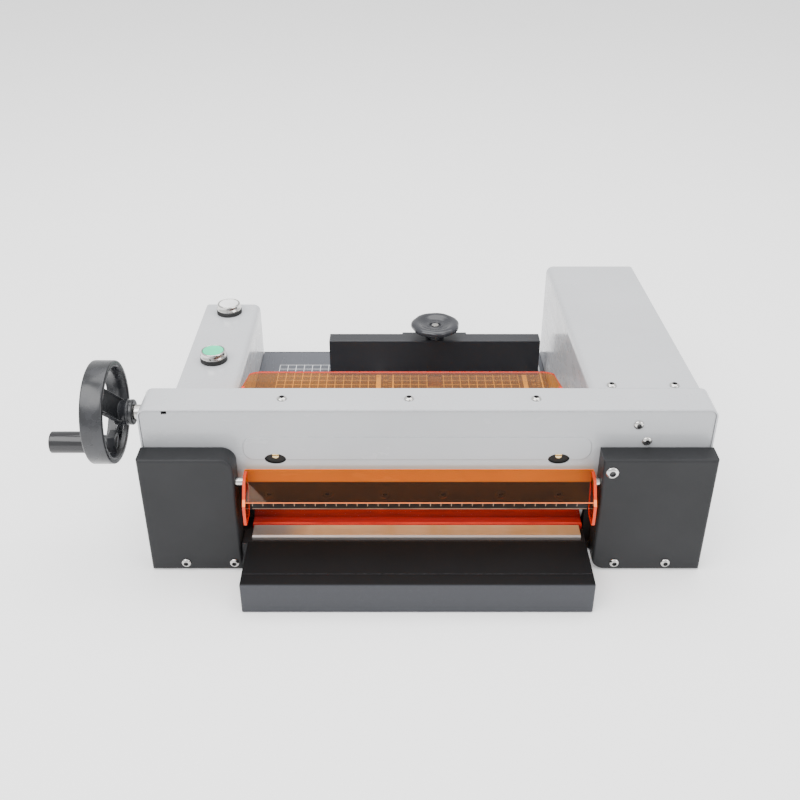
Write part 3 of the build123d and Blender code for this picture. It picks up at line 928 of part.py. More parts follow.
SWITCH_FLANGE, SWITCH_MOUTH, SWITCH_DEPTH = (11, 8), (8, 5), 11.0
ROCKER_Y, PIVOT_RADIUS = ARM_REAR - 1.0, 1.0
with BuildPart() as switch_body:
    add(fitting(SWITCH_X, SWITCH_FLANGE, ARM_REAR, ARM_REAR + 1.8))
    fillet(switch_body.edges().filter_by(Axis.Y), 1.5)
    add(fitting(SWITCH_X, SWITCH_HALF, ARM_REAR - SWITCH_DEPTH - 3, ARM_REAR))
    add(fitting(SWITCH_X, SWITCH_MOUTH, ARM_REAR - SWITCH_DEPTH, ARM_REAR + 3), mode=Mode.SUBTRACT)
    add(along_z(PIVOT_RADIUS + RUNNING, REAR_FITTING_Z - 6, REAR_FITTING_Z + 6, SWITCH_X, ROCKER_Y),
        mode=Mode.SUBTRACT)
save("switch_body", switch_body)

ROCKER_OUTLINE = [(-6.6, 4.4), (0, 2.8), (7.2, 2.8), (6.6, -1.5), (0, -4), (-6.6, -1.5)]
with BuildPart() as switch_rocker:
    with BuildSketch(Plane(origin=(SWITCH_X, ROCKER_Y, REAR_FITTING_Z - 4.7))):
        with BuildLine():
            Polyline(*ROCKER_OUTLINE, close=True)
        make_face()
    extrude(amount=9.4)
    add(along_z(PIVOT_RADIUS, REAR_FITTING_Z - 5.9, REAR_FITTING_Z + 5.9, SWITCH_X, ROCKER_Y))
save("switch_rocker", switch_rocker)
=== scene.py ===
"""Studio scene of a desktop electric guillotine paper cutter.

Metres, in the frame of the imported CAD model: +Z up, X to the operator's right, Y away from the
operator.  Carried-over CAD nodes keep their mesh and get a finish; the turned, moulded and clear
pieces that the eye rests on are modelled here and stand for their CAD nodes.
"""
import json
import math

import bmesh
import bpy
from mathutils import Euler, Matrix, Vector


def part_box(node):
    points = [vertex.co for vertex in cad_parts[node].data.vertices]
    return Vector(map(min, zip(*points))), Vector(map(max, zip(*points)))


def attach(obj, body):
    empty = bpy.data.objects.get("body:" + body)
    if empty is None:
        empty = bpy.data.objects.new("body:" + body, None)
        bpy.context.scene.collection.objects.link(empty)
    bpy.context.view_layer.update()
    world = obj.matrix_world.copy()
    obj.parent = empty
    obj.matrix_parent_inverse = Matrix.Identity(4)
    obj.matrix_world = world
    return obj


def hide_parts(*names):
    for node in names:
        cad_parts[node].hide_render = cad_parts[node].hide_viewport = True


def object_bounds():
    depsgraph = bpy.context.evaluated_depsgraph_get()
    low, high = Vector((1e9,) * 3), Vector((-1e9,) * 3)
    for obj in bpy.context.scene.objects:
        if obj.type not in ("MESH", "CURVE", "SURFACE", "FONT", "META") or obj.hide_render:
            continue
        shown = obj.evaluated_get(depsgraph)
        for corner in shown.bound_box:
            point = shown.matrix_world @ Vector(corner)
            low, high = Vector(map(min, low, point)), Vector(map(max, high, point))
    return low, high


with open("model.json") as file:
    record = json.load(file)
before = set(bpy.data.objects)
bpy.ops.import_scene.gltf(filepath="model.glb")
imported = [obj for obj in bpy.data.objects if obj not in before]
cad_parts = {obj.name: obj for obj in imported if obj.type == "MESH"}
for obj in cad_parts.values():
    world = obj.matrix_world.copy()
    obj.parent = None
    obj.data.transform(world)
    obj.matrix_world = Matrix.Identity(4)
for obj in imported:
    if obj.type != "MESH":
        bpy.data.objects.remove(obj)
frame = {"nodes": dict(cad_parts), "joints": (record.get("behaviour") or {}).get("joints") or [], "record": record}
cad_low, cad_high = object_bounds()
nodes = frame["nodes"]
slot_of = {part["node"]: part["material_slot"] for part in frame["record"]["subparts"]}
joints = {joint["name"]: joint for joint in frame["joints"]}
MM = 0.001


# ---- finishes -------------------------------------------------------------------
class Finish:
    """A node material.  Its patterns read object coordinates, so they move with the piece."""

    def __init__(self, name, colour, roughness, **sockets):
        self.material = bpy.data.materials.new(name)
        self.material.use_nodes = True
        self.nodes = self.material.node_tree.nodes
        self.links = self.material.node_tree.links
        self.shader = self.nodes["Principled BSDF"]
        self.place = self.nodes.new("ShaderNodeTexCoord").outputs["Object"]
        self.set(self.shader, "Base Color", (*colour, 1.0))
        self.set(self.shader, "Roughness", roughness)
        for socket, value in sockets.items():
            self.set(self.shader, socket.replace("_", " "), value)
        self.normal = None

    def set(self, node, socket, value):
        """Link an output to a socket, or give the socket a constant."""
        if isinstance(value, bpy.types.NodeSocket):
            self.links.new(value, node.inputs[socket])
        else:
            node.inputs[socket].default_value = value

    def calc(self, operation, *values):
        node = self.nodes.new("ShaderNodeMath")
        node.operation = operation
        for i, value in enumerate(values):
            self.set(node, i, value)
        return node.outputs[0]

    def axis(self, index):
        """One coordinate of the shaded point, in metres."""
        node = self.nodes.new("ShaderNodeSeparateXYZ")
        self.set(node, 0, self.place)
        return node.outputs[index]

    def facing(self, index):
        """One component of the surface normal, in the object's own axes."""
        to_object = self.nodes.new("ShaderNodeVectorTransform")
        to_object.vector_type, to_object.convert_from, to_object.convert_to = "NORMAL", "WORLD", "OBJECT"
        self.set(to_object, 0, self.nodes.new("ShaderNodeNewGeometry").outputs["Normal"])
        node = self.nodes.new("ShaderNodeSeparateXYZ")
        self.set(node, 0, to_object.outputs[0])
        return node.outputs[index]

    def noise(self, scale, detail=3.0, stretch=(1, 1, 1), roughness=0.55):
        mapping = self.nodes.new("ShaderNodeMapping")
        self.set(mapping, "Vector", self.place)
        mapping.inputs["Scale"].default_value = stretch
        node = self.nodes.new("ShaderNodeTexNoise")
        self.set(node, "Vector", mapping.outputs[0])
        node.inputs["Scale"].default_value = scale
        node.inputs["Detail"].default_value = detail
        node.inputs["Roughness"].default_value = roughness
        return node.outputs["Fac"]

    def fit(self, value, low, high, to_low=0.0, to_high=1.0):
        """Map a span of values onto another, clamped at both ends."""
        node = self.nodes.new("ShaderNodeMapRange")
        for socket, number in zip(("Value", "From Min", "From Max", "To Min", "To Max"),
                                  (value, low, high, to_low, to_high)):
            self.set(node, socket, number)
        return node.outputs[0]

    def blend(self, factor, first, second):
        """Mix two colours."""
        node = self.nodes.new("ShaderNodeMix")
        node.data_type = "RGBA"
        self.set(node, 0, factor)
        for index, colour in ((6, first), (7, second)):
            self.set(node, index, colour if isinstance(colour, bpy.types.NodeSocket) else (*colour, 1.0))
        return node.outputs[2]

    def bump(self, height, distance, strength=1.0):
        node = self.nodes.new("ShaderNodeBump")
        node.inputs["Distance"].default_value = distance
        node.inputs["Strength"].default_value = strength
        self.set(node, "Height", height)
        if self.normal:
            self.set(node, "Normal", self.normal)
        self.normal = node.outputs[0]
        self.set(self.shader, "Normal", self.normal)

    def round_edges(self, radius):
        """Shade sharp edges as if they were broken to this radius."""
        node = self.nodes.new("ShaderNodeBevel")
        node.samples = 4
        node.inputs["Radius"].default_value = radius
        self.normal = node.outputs[0]
        self.set(self.shader, "Normal", self.normal)

    def pass_light(self, tint):
        """Let shadow rays through the sheet, tinted, so that what lies behind it is lit."""
        clear = self.nodes.new("ShaderNodeBsdfTransparent")
        clear.inputs["Color"].default_value = (*tint, 1.0)
        mix = self.nodes.new("ShaderNodeMixShader")
        self.set(mix, 0, self.nodes.new("ShaderNodeLightPath").outputs["Is Shadow Ray"])
        self.set(mix, 1, self.shader.outputs[0])
        self.set(mix, 2, clear.outputs[0])
        self.set(self.nodes["Material Output"], "Surface", mix.outputs[0])

    def edge_mask(self, radius):
        """One near a convex or concave edge, zero on flat faces."""
        rounded = self.nodes.new("ShaderNodeBevel")
        rounded.samples = 4
        rounded.inputs["Radius"].default_value = radius
        product = self.nodes.new("ShaderNodeVectorMath")
        product.operation = "DOT_PRODUCT"
        self.set(product, 0, rounded.outputs[0])
        self.set(product, 1, self.nodes.new("ShaderNodeNewGeometry").outputs["True Normal"])
        return self.fit(product.outputs["Value"], 0.98, 0.80)

    def line_mask(self, coordinate, pitch, width, offset=0.0):
        """Lines of a width, repeated at a pitch along one coordinate."""
        shifted = self.calc("ADD", coordinate, pitch * 1000 - offset + pitch / 2)
        within = self.calc("MODULO", shifted, pitch)
        distance = self.calc("ABSOLUTE", self.calc("SUBTRACT", within, pitch / 2))
        return self.fit(distance, width / 2 + 0.00008, width / 2 - 0.00008)

    def span_mask(self, coordinate, low, high):
        """One between two values of a coordinate."""
        return self.calc("MULTIPLY", self.calc("GREATER_THAN", coordinate, low),
                         self.calc("LESS_THAN", coordinate, high))


def shade(colour, factor):
    return tuple(channel * factor for channel in colour)


def painted(name, colour, gloss, peel, edge=0.0008, coat=0.0, worn=None, sheen=0.5):
    """Sprayed paint: faint tone drift, orange peel, handling marks in the gloss and worn edges."""
    finish = Finish(name, colour, gloss, Coat_Weight=coat, Coat_Roughness=0.08, Specular_IOR_Level=sheen)
    drift = finish.fit(finish.noise(9, 4), 0.35, 0.65)
    tone = finish.blend(drift, shade(colour, 0.965), shade(colour, 1.035))
    dust = finish.fit(finish.noise(420, 6), 0.62, 0.78, 0.0, 0.10)
    tone = finish.blend(dust, tone, shade(colour, 0.72))
    if worn:
        rub = finish.calc("MULTIPLY", finish.edge_mask(0.0007), finish.fit(finish.noise(160, 4), 0.42, 0.70))
        tone = finish.blend(rub, tone, worn)
    finish.set(finish.shader, "Base Color", tone)
    smears = finish.fit(finish.noise(26, 5, (1, 1, 2.5)), 0.35, 0.7, gloss * 0.85, gloss * 1.35)
    finish.set(finish.shader, "Roughness", smears)
    finish.round_edges(edge)
    finish.bump(finish.noise(900, 2), 0.00006, peel)
    return finish.material


def powder(name, colour, grain=2200, depth=0.00016, gloss=0.46, edge_wear_and_highlight_tone=2.4, sheen=0.5):
    """Textured powder coat: a fine sandy grain with brighter specks and lighter edges, partly wear and partly
    painted highlight.
    """
    finish = Finish(name, colour, gloss, Specular_IOR_Level=sheen)
    fine = finish.noise(grain, 3, roughness=0.7)
    cloud = finish.fit(finish.noise(14, 4), 0.3, 0.7)
    tone = finish.blend(cloud, shade(colour, 0.86), shade(colour, 1.12))
    specks = finish.fit(fine, 0.60, 0.74, 0.0, 0.55)
    tone = finish.blend(specks, tone, shade(colour, 2.6))
    # lighter edges: wear plus a painted highlight where the edges catch the light
    edges = finish.calc("MULTIPLY", finish.edge_mask(0.0009), finish.fit(finish.noise(240, 4), 0.30, 0.62))
    tone = finish.blend(edges, tone, shade(colour, edge_wear_and_highlight_tone))
    finish.set(finish.shader, "Base Color", tone)
    finish.set(finish.shader, "Roughness", finish.fit(fine, 0.3, 0.7, gloss * 0.8, gloss * 1.3))
    finish.round_edges(0.0009)
    finish.bump(fine, depth, 0.6)
    return finish.material


def metal(name, colour, roughness, brush, brush_scale, brush_depth):
    """Bare metal: directional brush marks, uneven polish and darker patches."""
    finish = Finish(name, colour, roughness, Metallic=1.0)
    marks = finish.noise(brush_scale, 4, brush)
    patches = finish.fit(finish.noise(38, 4), 0.40, 0.72)
    tone = finish.blend(finish.fit(marks, 0.3, 0.7), shade(colour, 0.88), shade(colour, 1.06))
    tone = finish.blend(finish.calc("MULTIPLY", patches, 0.6), tone, shade(colour, 0.72))
    finish.set(finish.shader, "Base Color", tone)
    polish = finish.calc("ADD", finish.fit(marks, 0.3, 0.7, -0.04, 0.06),
                         finish.fit(patches, 0, 1, roughness, roughness * 1.5))
    finish.set(finish.shader, "Roughness", polish)
    finish.round_edges(0.0004)
    finish.bump(marks, brush_depth, 0.5)
    return finish.material


def moulded(name, colour, gloss, grain=0.15, **sockets):
    """Moulded plastic: flow marks, dust and faint scratches under the gloss."""
    finish = Finish(name, colour, gloss, **sockets)
    flow = finish.fit(finish.noise(30, 4, (1, 1, 2)), 0.35, 0.7)
    tone = finish.blend(flow, shade(colour, 0.9), shade(colour, 1.15))
    dust = finish.fit(finish.noise(700, 5), 0.60, 0.78, 0.0, 0.22)
    lighter = tuple(min(1.0, channel * 1.5 + 0.04) for channel in colour)
    finish.set(finish.shader, "Base Color", finish.blend(dust, tone, lighter))
    scratches = finish.noise(320, 5, (0.08, 1, 1))
    finish.set(finish.shader, "Roughness", finish.fit(scratches, 0.4, 0.72, gloss * 0.8, gloss * 1.5))
    finish.bump(finish.noise(260, 4), 0.00012, grain)
    return finish.material


def amber_clear(name, colour, clear_share, index):
    """Cast acrylic: saturated, faintly milky, with a rubbed surface."""
    finish = Finish(name, colour, 0.01, Transmission_Weight=clear_share, IOR=index)
    haze = finish.noise(55, 6, (1, 2.2, 1), 0.65)
    finish.set(finish.shader, "Roughness", finish.fit(haze, 0.50, 0.80, 0.0, 0.03))
    tone = finish.blend(finish.fit(finish.noise(20, 3), 0.3, 0.7), shade(colour, 0.95), colour)
    finish.set(finish.shader, "Base Color", tone)
    finish.bump(haze, 0.00003, 0.10)
    finish.pass_light((1.0, 0.62, 0.25))
    return finish.material


LIP_Y, LIP_Z = (-0.060, -0.0452), (0.0843, 0.0895)
CREST_Y, CREST_Z = (-0.024, 0.0), (0.1025, 0.1085)


def amber_cut():
    """The cut edge of the sheets, with a painted glow standing for the light they carry out of them: yellow high
    up, salmon along the lip.
    """
    deep = (0.60, 0.045, 0.008)
    finish = Finish("painted_glow_edge", deep, 0.2, Specular_IOR_Level=0.3)
    lip = finish.calc("MULTIPLY", finish.span_mask(finish.axis(1), *LIP_Y),
                      finish.span_mask(finish.axis(2), *LIP_Z))
    crest = finish.calc("MULTIPLY", finish.span_mask(finish.axis(1), *CREST_Y),
                        finish.span_mask(finish.axis(2), *CREST_Z))
    saw = finish.noise(700, 3, (1, 0.1, 1))
    tone = finish.blend(finish.fit(saw, 0.3, 0.7), shade(deep, 0.8), deep)
    tone = finish.blend(crest, finish.blend(lip, tone, (0.85, 0.20, 0.06)), (0.85, 0.36, 0.01))
    finish.set(finish.shader, "Base Color", tone)
    # painted glow: the edge colour is also emitted, strongest along the lip and crest
    finish.set(finish.shader, "Emission Color", tone)
    strength = finish.fit(finish.calc("MAXIMUM", lip, crest), 0, 1, 0.30, 0.60)
    finish.set(finish.shader, "Emission Strength", strength)
    finish.set(finish.shader, "Roughness", finish.fit(saw, 0.3, 0.7, 0.15, 0.3))
    finish.bump(saw, 0.00002, 0.3)
    return finish.material


finishes = {
    "grey_paint": painted("grey_paint", (0.50, 0.51, 0.53), 0.26, 0.10, coat=0.25, worn=(0.72, 0.73, 0.75)),
    "panel_paint": painted("panel_paint", (0.40, 0.41, 0.425), 0.22, 0.08, coat=0.3,
                           worn=(0.70, 0.71, 0.73)),
    "black_texture": powder("black_texture", (0.022, 0.023, 0.027), sheen=0.35),
    "black_cover": powder("black_cover", (0.018, 0.0185, 0.020), grain=2600, gloss=0.42,
                          edge_wear_and_highlight_tone=4.0, sheen=0.2),
    "black_gloss": moulded("black_gloss", (0.016, 0.016, 0.018), 0.16, 0.10),
    "knob_plastic": moulded("knob_plastic", (0.022, 0.023, 0.028), 0.20, 0.2),
    "foot_rubber": moulded("foot_rubber", (0.02, 0.02, 0.02), 0.75, 0.8),
    "ground_steel": metal("ground_steel", (0.50, 0.49, 0.47), 0.18, (0.2, 1, 1), 500, 0.000003),
    "blade_steel": metal("blade_steel", (0.70, 0.71, 0.72), 0.10, (1, 1, 0.05), 1400, 0.00001),
    "dark_steel": painted("dark_steel", (0.010, 0.0095, 0.009), 0.40, 0.05, worn=(0.42, 0.40, 0.37), sheen=0.25),
    "zinc_steel": metal("zinc_steel", (0.60, 0.61, 0.62), 0.34, (1, 1, 1), 140, 0.00003),
    "chrome_screw": metal("chrome_screw", (0.62, 0.61, 0.59), 0.16, (1, 1, 1), 600, 0.00001),
    "brass_screw": metal("brass_screw", (0.76, 0.58, 0.30), 0.20, (1, 1, 1), 600, 0.00001),
    "black_screw": metal("black_screw", (0.05, 0.05, 0.055), 0.34, (1, 1, 1), 900, 0.00002),
    "cast_bed": powder("cast_bed", (0.016, 0.016, 0.018), grain=900, depth=0.0003, gloss=0.5, sheen=0.25),
    "cast_aluminium": metal("cast_aluminium", (0.62, 0.63, 0.64), 0.30, (0.08, 1, 1), 700, 0.00003),
    "motor_steel": painted("motor_steel", (0.10, 0.10, 0.11), 0.35, 0.2),
    "green_plastic": moulded("green_plastic", (0.045, 0.72, 0.38), 0.30, 0.05, Specular_IOR_Level=0.15),
    "white_plastic": moulded("white_plastic", (0.88, 0.88, 0.87), 0.24, 0.05),
    "board_green": moulded("board_green", (0.02, 0.16, 0.08), 0.35, 0.3),
    "amber_acrylic": amber_clear("amber_acrylic", (1.0, 0.34, 0.025), 1.0, 1.25),
}
amber_deep = amber_clear("amber_deep", (1.0, 0.36, 0.02), 0.98, 1.06)
painted_glow_edge = amber_cut()


def red_stick():
    """The plastic stick that the knife lands on: a bright score line along its middle and saw marks."""
    low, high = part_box("cutting_stick")
    finish = Finish("red_stick", (0.60, 0.03, 0.025), 0.45, Specular_IOR_Level=0.25)
    fibre = finish.noise(500, 4, (0.03, 1, 1))
    tone = finish.blend(finish.fit(fibre, 0.35, 0.65), (0.26, 0.008, 0.006), (0.38, 0.014, 0.010))
    across = finish.axis(1)
    middle = low.y + (high.y - low.y) * 0.16
    worn = finish.calc("MULTIPLY", finish.span_mask(across, middle - 0.0011, middle + 0.0011),
                       finish.fit(finish.noise(120, 4, (0.2, 1, 1)), 0.30, 0.55, 0.25, 0.9))
    finish.set(finish.shader, "Base Color", finish.blend(worn, tone, (0.66, 0.08, 0.05)))
    finish.set(finish.shader, "Roughness", finish.fit(fibre, 0.3, 0.7, 0.40, 0.62))
    finish.round_edges(0.0006)
    finish.bump(fibre, 0.00006, 0.6)
    return finish.material


SCALE_PITCH, TICK_WIDTH, TICK_OFFSET = 0.010, 0.0006, 0.0033


def scale_paint():
    """Black scale with a short pale tick every 10 mm."""
    low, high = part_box("scale_strip")
    finish = Finish("scale_black", (0.012, 0.012, 0.012), 0.4)
    ticks = finish.calc("MULTIPLY", finish.line_mask(finish.axis(0), SCALE_PITCH, TICK_WIDTH, TICK_OFFSET),
                        finish.span_mask(finish.axis(2), high.z - 0.0036, high.z - 0.0004))
    patchy = finish.calc("MULTIPLY", ticks, finish.fit(finish.noise(300, 4), 0.25, 0.5, 0.4, 1.0))
    tone = finish.blend(patchy, (0.008, 0.008, 0.009), (0.55, 0.46, 0.36))
    bare = finish.calc("MULTIPLY", finish.calc("LESS_THAN", finish.axis(2), low.z + 0.0009),
                       finish.fit(finish.noise(90, 4, (0.3, 1, 1)), 0.30, 0.55, 0.35, 1.0))
    finish.set(finish.shader, "Base Color", finish.blend(bare, tone, (0.34, 0.28, 0.24)))
    finish.set(finish.shader, "Roughness", finish.fit(finish.noise(240, 4), 0.3, 0.7, 0.3, 0.55))
    finish.bump(finish.noise(1500, 3), 0.00004, 0.4)
    return finish.material


GRID_LEFT, GRID_RIGHT, GRID_FRONT, GRID_REAR = -0.1635, 0.1268, 0.02, 0.300
GRID_PITCH, GRID_LINE, GRID_OFFSET, GRID_GAP = 0.010, 0.0007, -0.0035, (-0.0449, -0.0225)
BOLD_BARS, THIN_RULES, RULE_HALF = ((-0.0443, -0.0386), (0.1316, 0.1370)), (-0.0241, 0.1545), 0.0009
COLUMN_LEFTS, COLUMN_WIDTH, HALF_PITCH, COLUMN_LINE = (-0.0296, 0.1480), 0.0035, 0.005, 0.0005
PRINT_PALE = (0.70, 0.71, 0.72)


def table_paint():
    """Dark satin table with a pale 10 mm grid, two bold bars and fine half-centimetre ticks beside them."""
    colour = (0.072, 0.077, 0.092)
    finish = Finish("grid_table", colour, 0.30)
    along_x, along_y = finish.axis(0), finish.axis(1)
    inside = finish.calc("MULTIPLY", finish.span_mask(along_x, GRID_LEFT - 0.0004, GRID_RIGHT),
                         finish.span_mask(along_y, GRID_FRONT, GRID_REAR + 0.0004))
    grid = finish.calc("MAXIMUM", finish.line_mask(along_x, GRID_PITCH, GRID_LINE, GRID_OFFSET),
                       finish.line_mask(along_y, GRID_PITCH, GRID_LINE))
    gap = finish.calc("SUBTRACT", 1.0, finish.span_mask(along_x, *GRID_GAP))
    print_mask = finish.calc("MULTIPLY", finish.calc("MULTIPLY", grid, inside), gap)
    for bar_low, bar_high in BOLD_BARS:
        bar = finish.calc("MULTIPLY", finish.span_mask(along_x, bar_low, bar_high),
                          finish.span_mask(along_y, GRID_FRONT, GRID_REAR))
        print_mask = finish.calc("MAXIMUM", print_mask, bar)
    for thin in THIN_RULES:
        rule = finish.calc("MULTIPLY", finish.span_mask(along_x, thin - RULE_HALF, thin + RULE_HALF),
                           finish.span_mask(along_y, GRID_FRONT, GRID_REAR))
        print_mask = finish.calc("MAXIMUM", print_mask, rule)
    for tick_left in COLUMN_LEFTS:
        column = finish.span_mask(along_x, tick_left, tick_left + COLUMN_WIDTH)
        ticks = finish.calc("MULTIPLY", finish.line_mask(along_y, HALF_PITCH, COLUMN_LINE), column)
        print_mask = finish.calc("MAXIMUM", print_mask, finish.calc(
            "MULTIPLY", ticks, finish.span_mask(along_y, GRID_FRONT, GRID_REAR)))
    print_mask = finish.calc("MULTIPLY", print_mask, finish.fit(finish.noise(130, 5), 0.22, 0.42, 0.55, 1.0))
    print_mask = finish.calc("MULTIPLY", print_mask, finish.fit(finish.facing(2), 0.5, 0.9))
    drift = finish.fit(finish.noise(11, 4), 0.3, 0.7)
    tone = finish.blend(drift, shade(colour, 0.88), shade(colour, 1.12))
    finish.set(finish.shader, "Base Color", finish.blend(print_mask, tone, PRINT_PALE))
    sliding = finish.noise(60, 6, (1, 0.12, 1))
    finish.set(finish.shader, "Roughness", finish.fit(sliding, 0.3, 0.7, 0.20, 0.38))
    finish.round_edges(0.0005)
    finish.bump(finish.noise(1100, 3), 0.00004, 0.35)
    return finish.material


# left end, and blur, of the painted reflection of the amber guard on the bed strip
GUARD_REFLECTION_LEFT, GUARD_REFLECTION_BLUR = -0.115, 0.012


def strip_metal():
    """The bright bed strip: lengthwise brushing under a painted reflection of the amber guard, a warm gold tone
    with a blurred orange patch, and its own grey on the faces turned to the operator and left of the guard.
    """
    finish = Finish("bed_strip", (0.58, 0.55, 0.50), 0.30, Metallic=0.7)
    marks = finish.noise(900, 4, (0.05, 1, 1))
    guard_reflection = finish.fit(finish.noise(16, 3, (1, 0.4, 1)), 0.42, 0.62)
    # painted reflection of the amber guard: warm gold tone with blurred orange patches
    tone = finish.blend(finish.fit(marks, 0.3, 0.7), (0.66, 0.50, 0.31), (0.78, 0.60, 0.39))
    tone = finish.blend(finish.calc("MULTIPLY", guard_reflection, 0.7), tone, (0.62, 0.36, 0.14))
    # the strip's own grey where the painted guard reflection stops: front-facing faces and left of the guard
    no_guard_reflection = finish.calc("MAXIMUM", finish.fit(finish.facing(1), -0.2, -0.5),
                       finish.fit(finish.axis(0), GUARD_REFLECTION_LEFT + GUARD_REFLECTION_BLUR, GUARD_REFLECTION_LEFT - GUARD_REFLECTION_BLUR))
    finish.set(finish.shader, "Base Color", finish.blend(no_guard_reflection, tone, (0.33, 0.31, 0.30)))
    finish.set(finish.shader, "Roughness", finish.fit(marks, 0.3, 0.7, 0.34, 0.52))
    finish.round_edges(0.0008)
    finish.bump(marks, 0.00002, 0.5)
    return finish.material


def apron_powder():
    """Sandy powder coat, nearly black on top like the table and lighter on the front: painted shade on the top and
    painted light on the front face.
    """
    finish = Finish("front_apron", (0.03, 0.03, 0.03), 0.42)
    grain = finish.noise(1700, 3, roughness=0.7)
    lit = finish.blend(finish.fit(grain, 0.30, 0.70), (0.015, 0.0165, 0.021), (0.027, 0.029, 0.037))
    lit = finish.blend(finish.fit(grain, 0.60, 0.74, 0.0, 0.5), lit, (0.10, 0.105, 0.12))
    # top faces take the near-black painted shade; the front keeps the lighter colour, which is painted light
    top = finish.fit(finish.facing(2), 0.4, 0.9)
    finish.set(finish.shader, "Base Color", finish.blend(top, lit, (0.006, 0.006, 0.0065)))
    finish.set(finish.shader, "Specular IOR Level", finish.fit(top, 0, 1, 0.45, 0.12))
    finish.set(finish.shader, "Roughness", finish.fit(grain, 0.3, 0.7, 0.36, 0.55))
    finish.round_edges(0.0009)
    finish.bump(grain, 0.0002, 0.6)
    return finish.material


finishes["red_stick"] = red_stick()
finishes["scale_black"] = scale_paint()
finishes["grid_table"] = table_paint()
own_finish = {
    "bed_strip": strip_metal(),
    # front_table: the near-black base colour is painted shade, the shadow of the hood and guards over the table
    "front_table": powder("front_table", (0.006, 0.006, 0.0065), gloss=0.5, edge_wear_and_highlight_tone=14.0, sheen=0.12),
    "front_apron": apron_powder(),
    "gauge_fence": powder("gauge_fence", (0.014, 0.015, 0.019), grain=1900, gloss=0.42, edge_wear_and_highlight_tone=4.0),
}


def wheel_paint():
    """Glossy black on the rim's tread; flatter and darker on the faces turned to the machine, the darkness there
    being painted shade.
    """
    colour = (0.020, 0.021, 0.024)
    finish = Finish("wheel_black", colour, 0.26)
    # faces turned to the machine: painted shade, darker and less shiny
    shaded_inner_face = finish.fit(finish.facing(0), 0.55, 0.88)
    handled = finish.fit(finish.noise(60, 5), 0.40, 0.68)
    tone = finish.blend(handled, shade(colour, 0.8), shade(colour, 1.4))
    finish.set(finish.shader, "Base Color", finish.blend(shaded_inner_face, tone, (0.007, 0.0075, 0.0085)))
    finish.set(finish.shader, "Specular IOR Level", finish.fit(shaded_inner_face, 0, 1, 0.5, 0.14))
    finish.set(finish.shader, "Roughness", finish.fit(handled, 0, 1, 0.20, 0.38))
    finish.round_edges(0.0006)
    finish.bump(finish.noise(180, 4), 0.00010, 0.12)
    return finish.material


wheel_black = wheel_paint()

SMOOTH_ANGLE = math.radians(35)
for name, node in nodes.items():
    node.data.materials.clear()
    node.data.materials.append(own_finish.get(name, finishes[slot_of[name]]))


# ---- mesh tools -----------------------------------------------------------------
def add_piece(name, mesh_data, finish, body, slot, *replaced):
    """Link a piece, finish it, and let it ride on a body in place of CAD nodes."""
    piece = bpy.data.objects.new(name, mesh_data)
    bpy.context.scene.collection.objects.link(piece)
    for material in finish if isinstance(finish, (list, tuple)) else [finish]:
        mesh_data.materials.append(material)
    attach(piece, body)
    if replaced:
        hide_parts(*replaced)
    return piece


def smooth(mesh, angle=SMOOTH_ANGLE):
    """Smooth shading with edges sharper than the angle kept crisp."""
    mesh.normal_update()
    for face in mesh.faces:
        face.smooth = True
    for edge in mesh.edges:
        edge.smooth = len(edge.link_faces) == 2 and edge.calc_face_angle(0) < angle


def to_data(name, mesh, angle=SMOOTH_ANGLE):
    bmesh.ops.recalc_face_normals(mesh, faces=mesh.faces)
    smooth(mesh, angle)
    data = bpy.data.meshes.new(name)
    mesh.to_mesh(data)
    mesh.free()
    return data


def frame_at(origin, direction):
    """A transform that puts local Z along a direction at a point."""
    return Matrix.Translation(origin) @ Vector(direction).to_track_quat("Z", "Y").to_matrix().to_4x4()


def turn(mesh, rings, place, segments=96):
    """Skin a closed form over rings of (radius, height); a radius may be a function of the angle.

    The first and last rings are closed with a fan, so a ring of radius zero ends in a point."""
    loops = []
    for radius, height in rings:
        loop = []
        for i in range(segments):
            angle = math.tau * i / segments
            r = radius(angle) if callable(radius) else radius
            loop.append(mesh.verts.new(place @ Vector((r * math.cos(angle), r * math.sin(angle), height))))
        loops.append(loop)
    for lower, upper in zip(loops, loops[1:]):
        for i in range(segments):
            j = (i + 1) % segments
            mesh.faces.new((lower[i], lower[j], upper[j], upper[i]))
    mesh.faces.new(list(reversed(loops[0])))
    mesh.faces.new(loops[-1])


def arc(centre_r, centre_z, radius, start, stop, steps=6):
    """Ring profile points along an arc, angles in degrees from the outward direction."""
    return [(centre_r + radius * math.cos(math.radians(start + (stop - start) * i / steps)),
             centre_z + radius * math.sin(math.radians(start + (stop - start) * i / steps)))
            for i in range(steps + 1)]


def slab(mesh, corners, low, high, place=Matrix()):
    """A prism over an outline of (x, y) corners between two heights."""
    bottom = [mesh.verts.new(place @ Vector((x, y, low))) for x, y in corners]
    top = [mesh.verts.new(place @ Vector((x, y, high))) for x, y in corners]
    mesh.faces.new(list(reversed(bottom)))
    mesh.faces.new(top)
    count = len(corners)
    return [mesh.faces.new((bottom[i], bottom[(i + 1) % count], top[(i + 1) % count], top[i]))
            for i in range(count)]


def soften(piece, width, segments):
    """Break the sharp edges of a piece."""
    bevel = piece.modifiers.new("edges", "BEVEL")
    bevel.width, bevel.segments, bevel.limit_method = width, segments, "ANGLE"
    bevel.angle_limit = math.radians(40)


def rounded_outline(corners, radii, steps=6):
    """The outline with each corner turned into an arc of its own radius."""
    result = []
    count = len(corners)
    for i, (corner, radius) in enumerate(zip(corners, radii)):
        here = Vector(corner)
        to_previous = (Vector(corners[i - 1]) - here).normalized()
        to_next = (Vector(corners[(i + 1) % count]) - here).normalized()
        half = to_previous.angle(to_next) / 2
        reach = radius / math.tan(half)
        centre = here + (to_previous + to_next).normalized() * (radius / math.sin(half))
        start, stop = here + to_previous * reach, here + to_next * reach
        for step in range(steps + 1):
            point = start.lerp(stop, step / steps)
            result.append(tuple(centre + (point - centre).normalized() * radius))
    return result


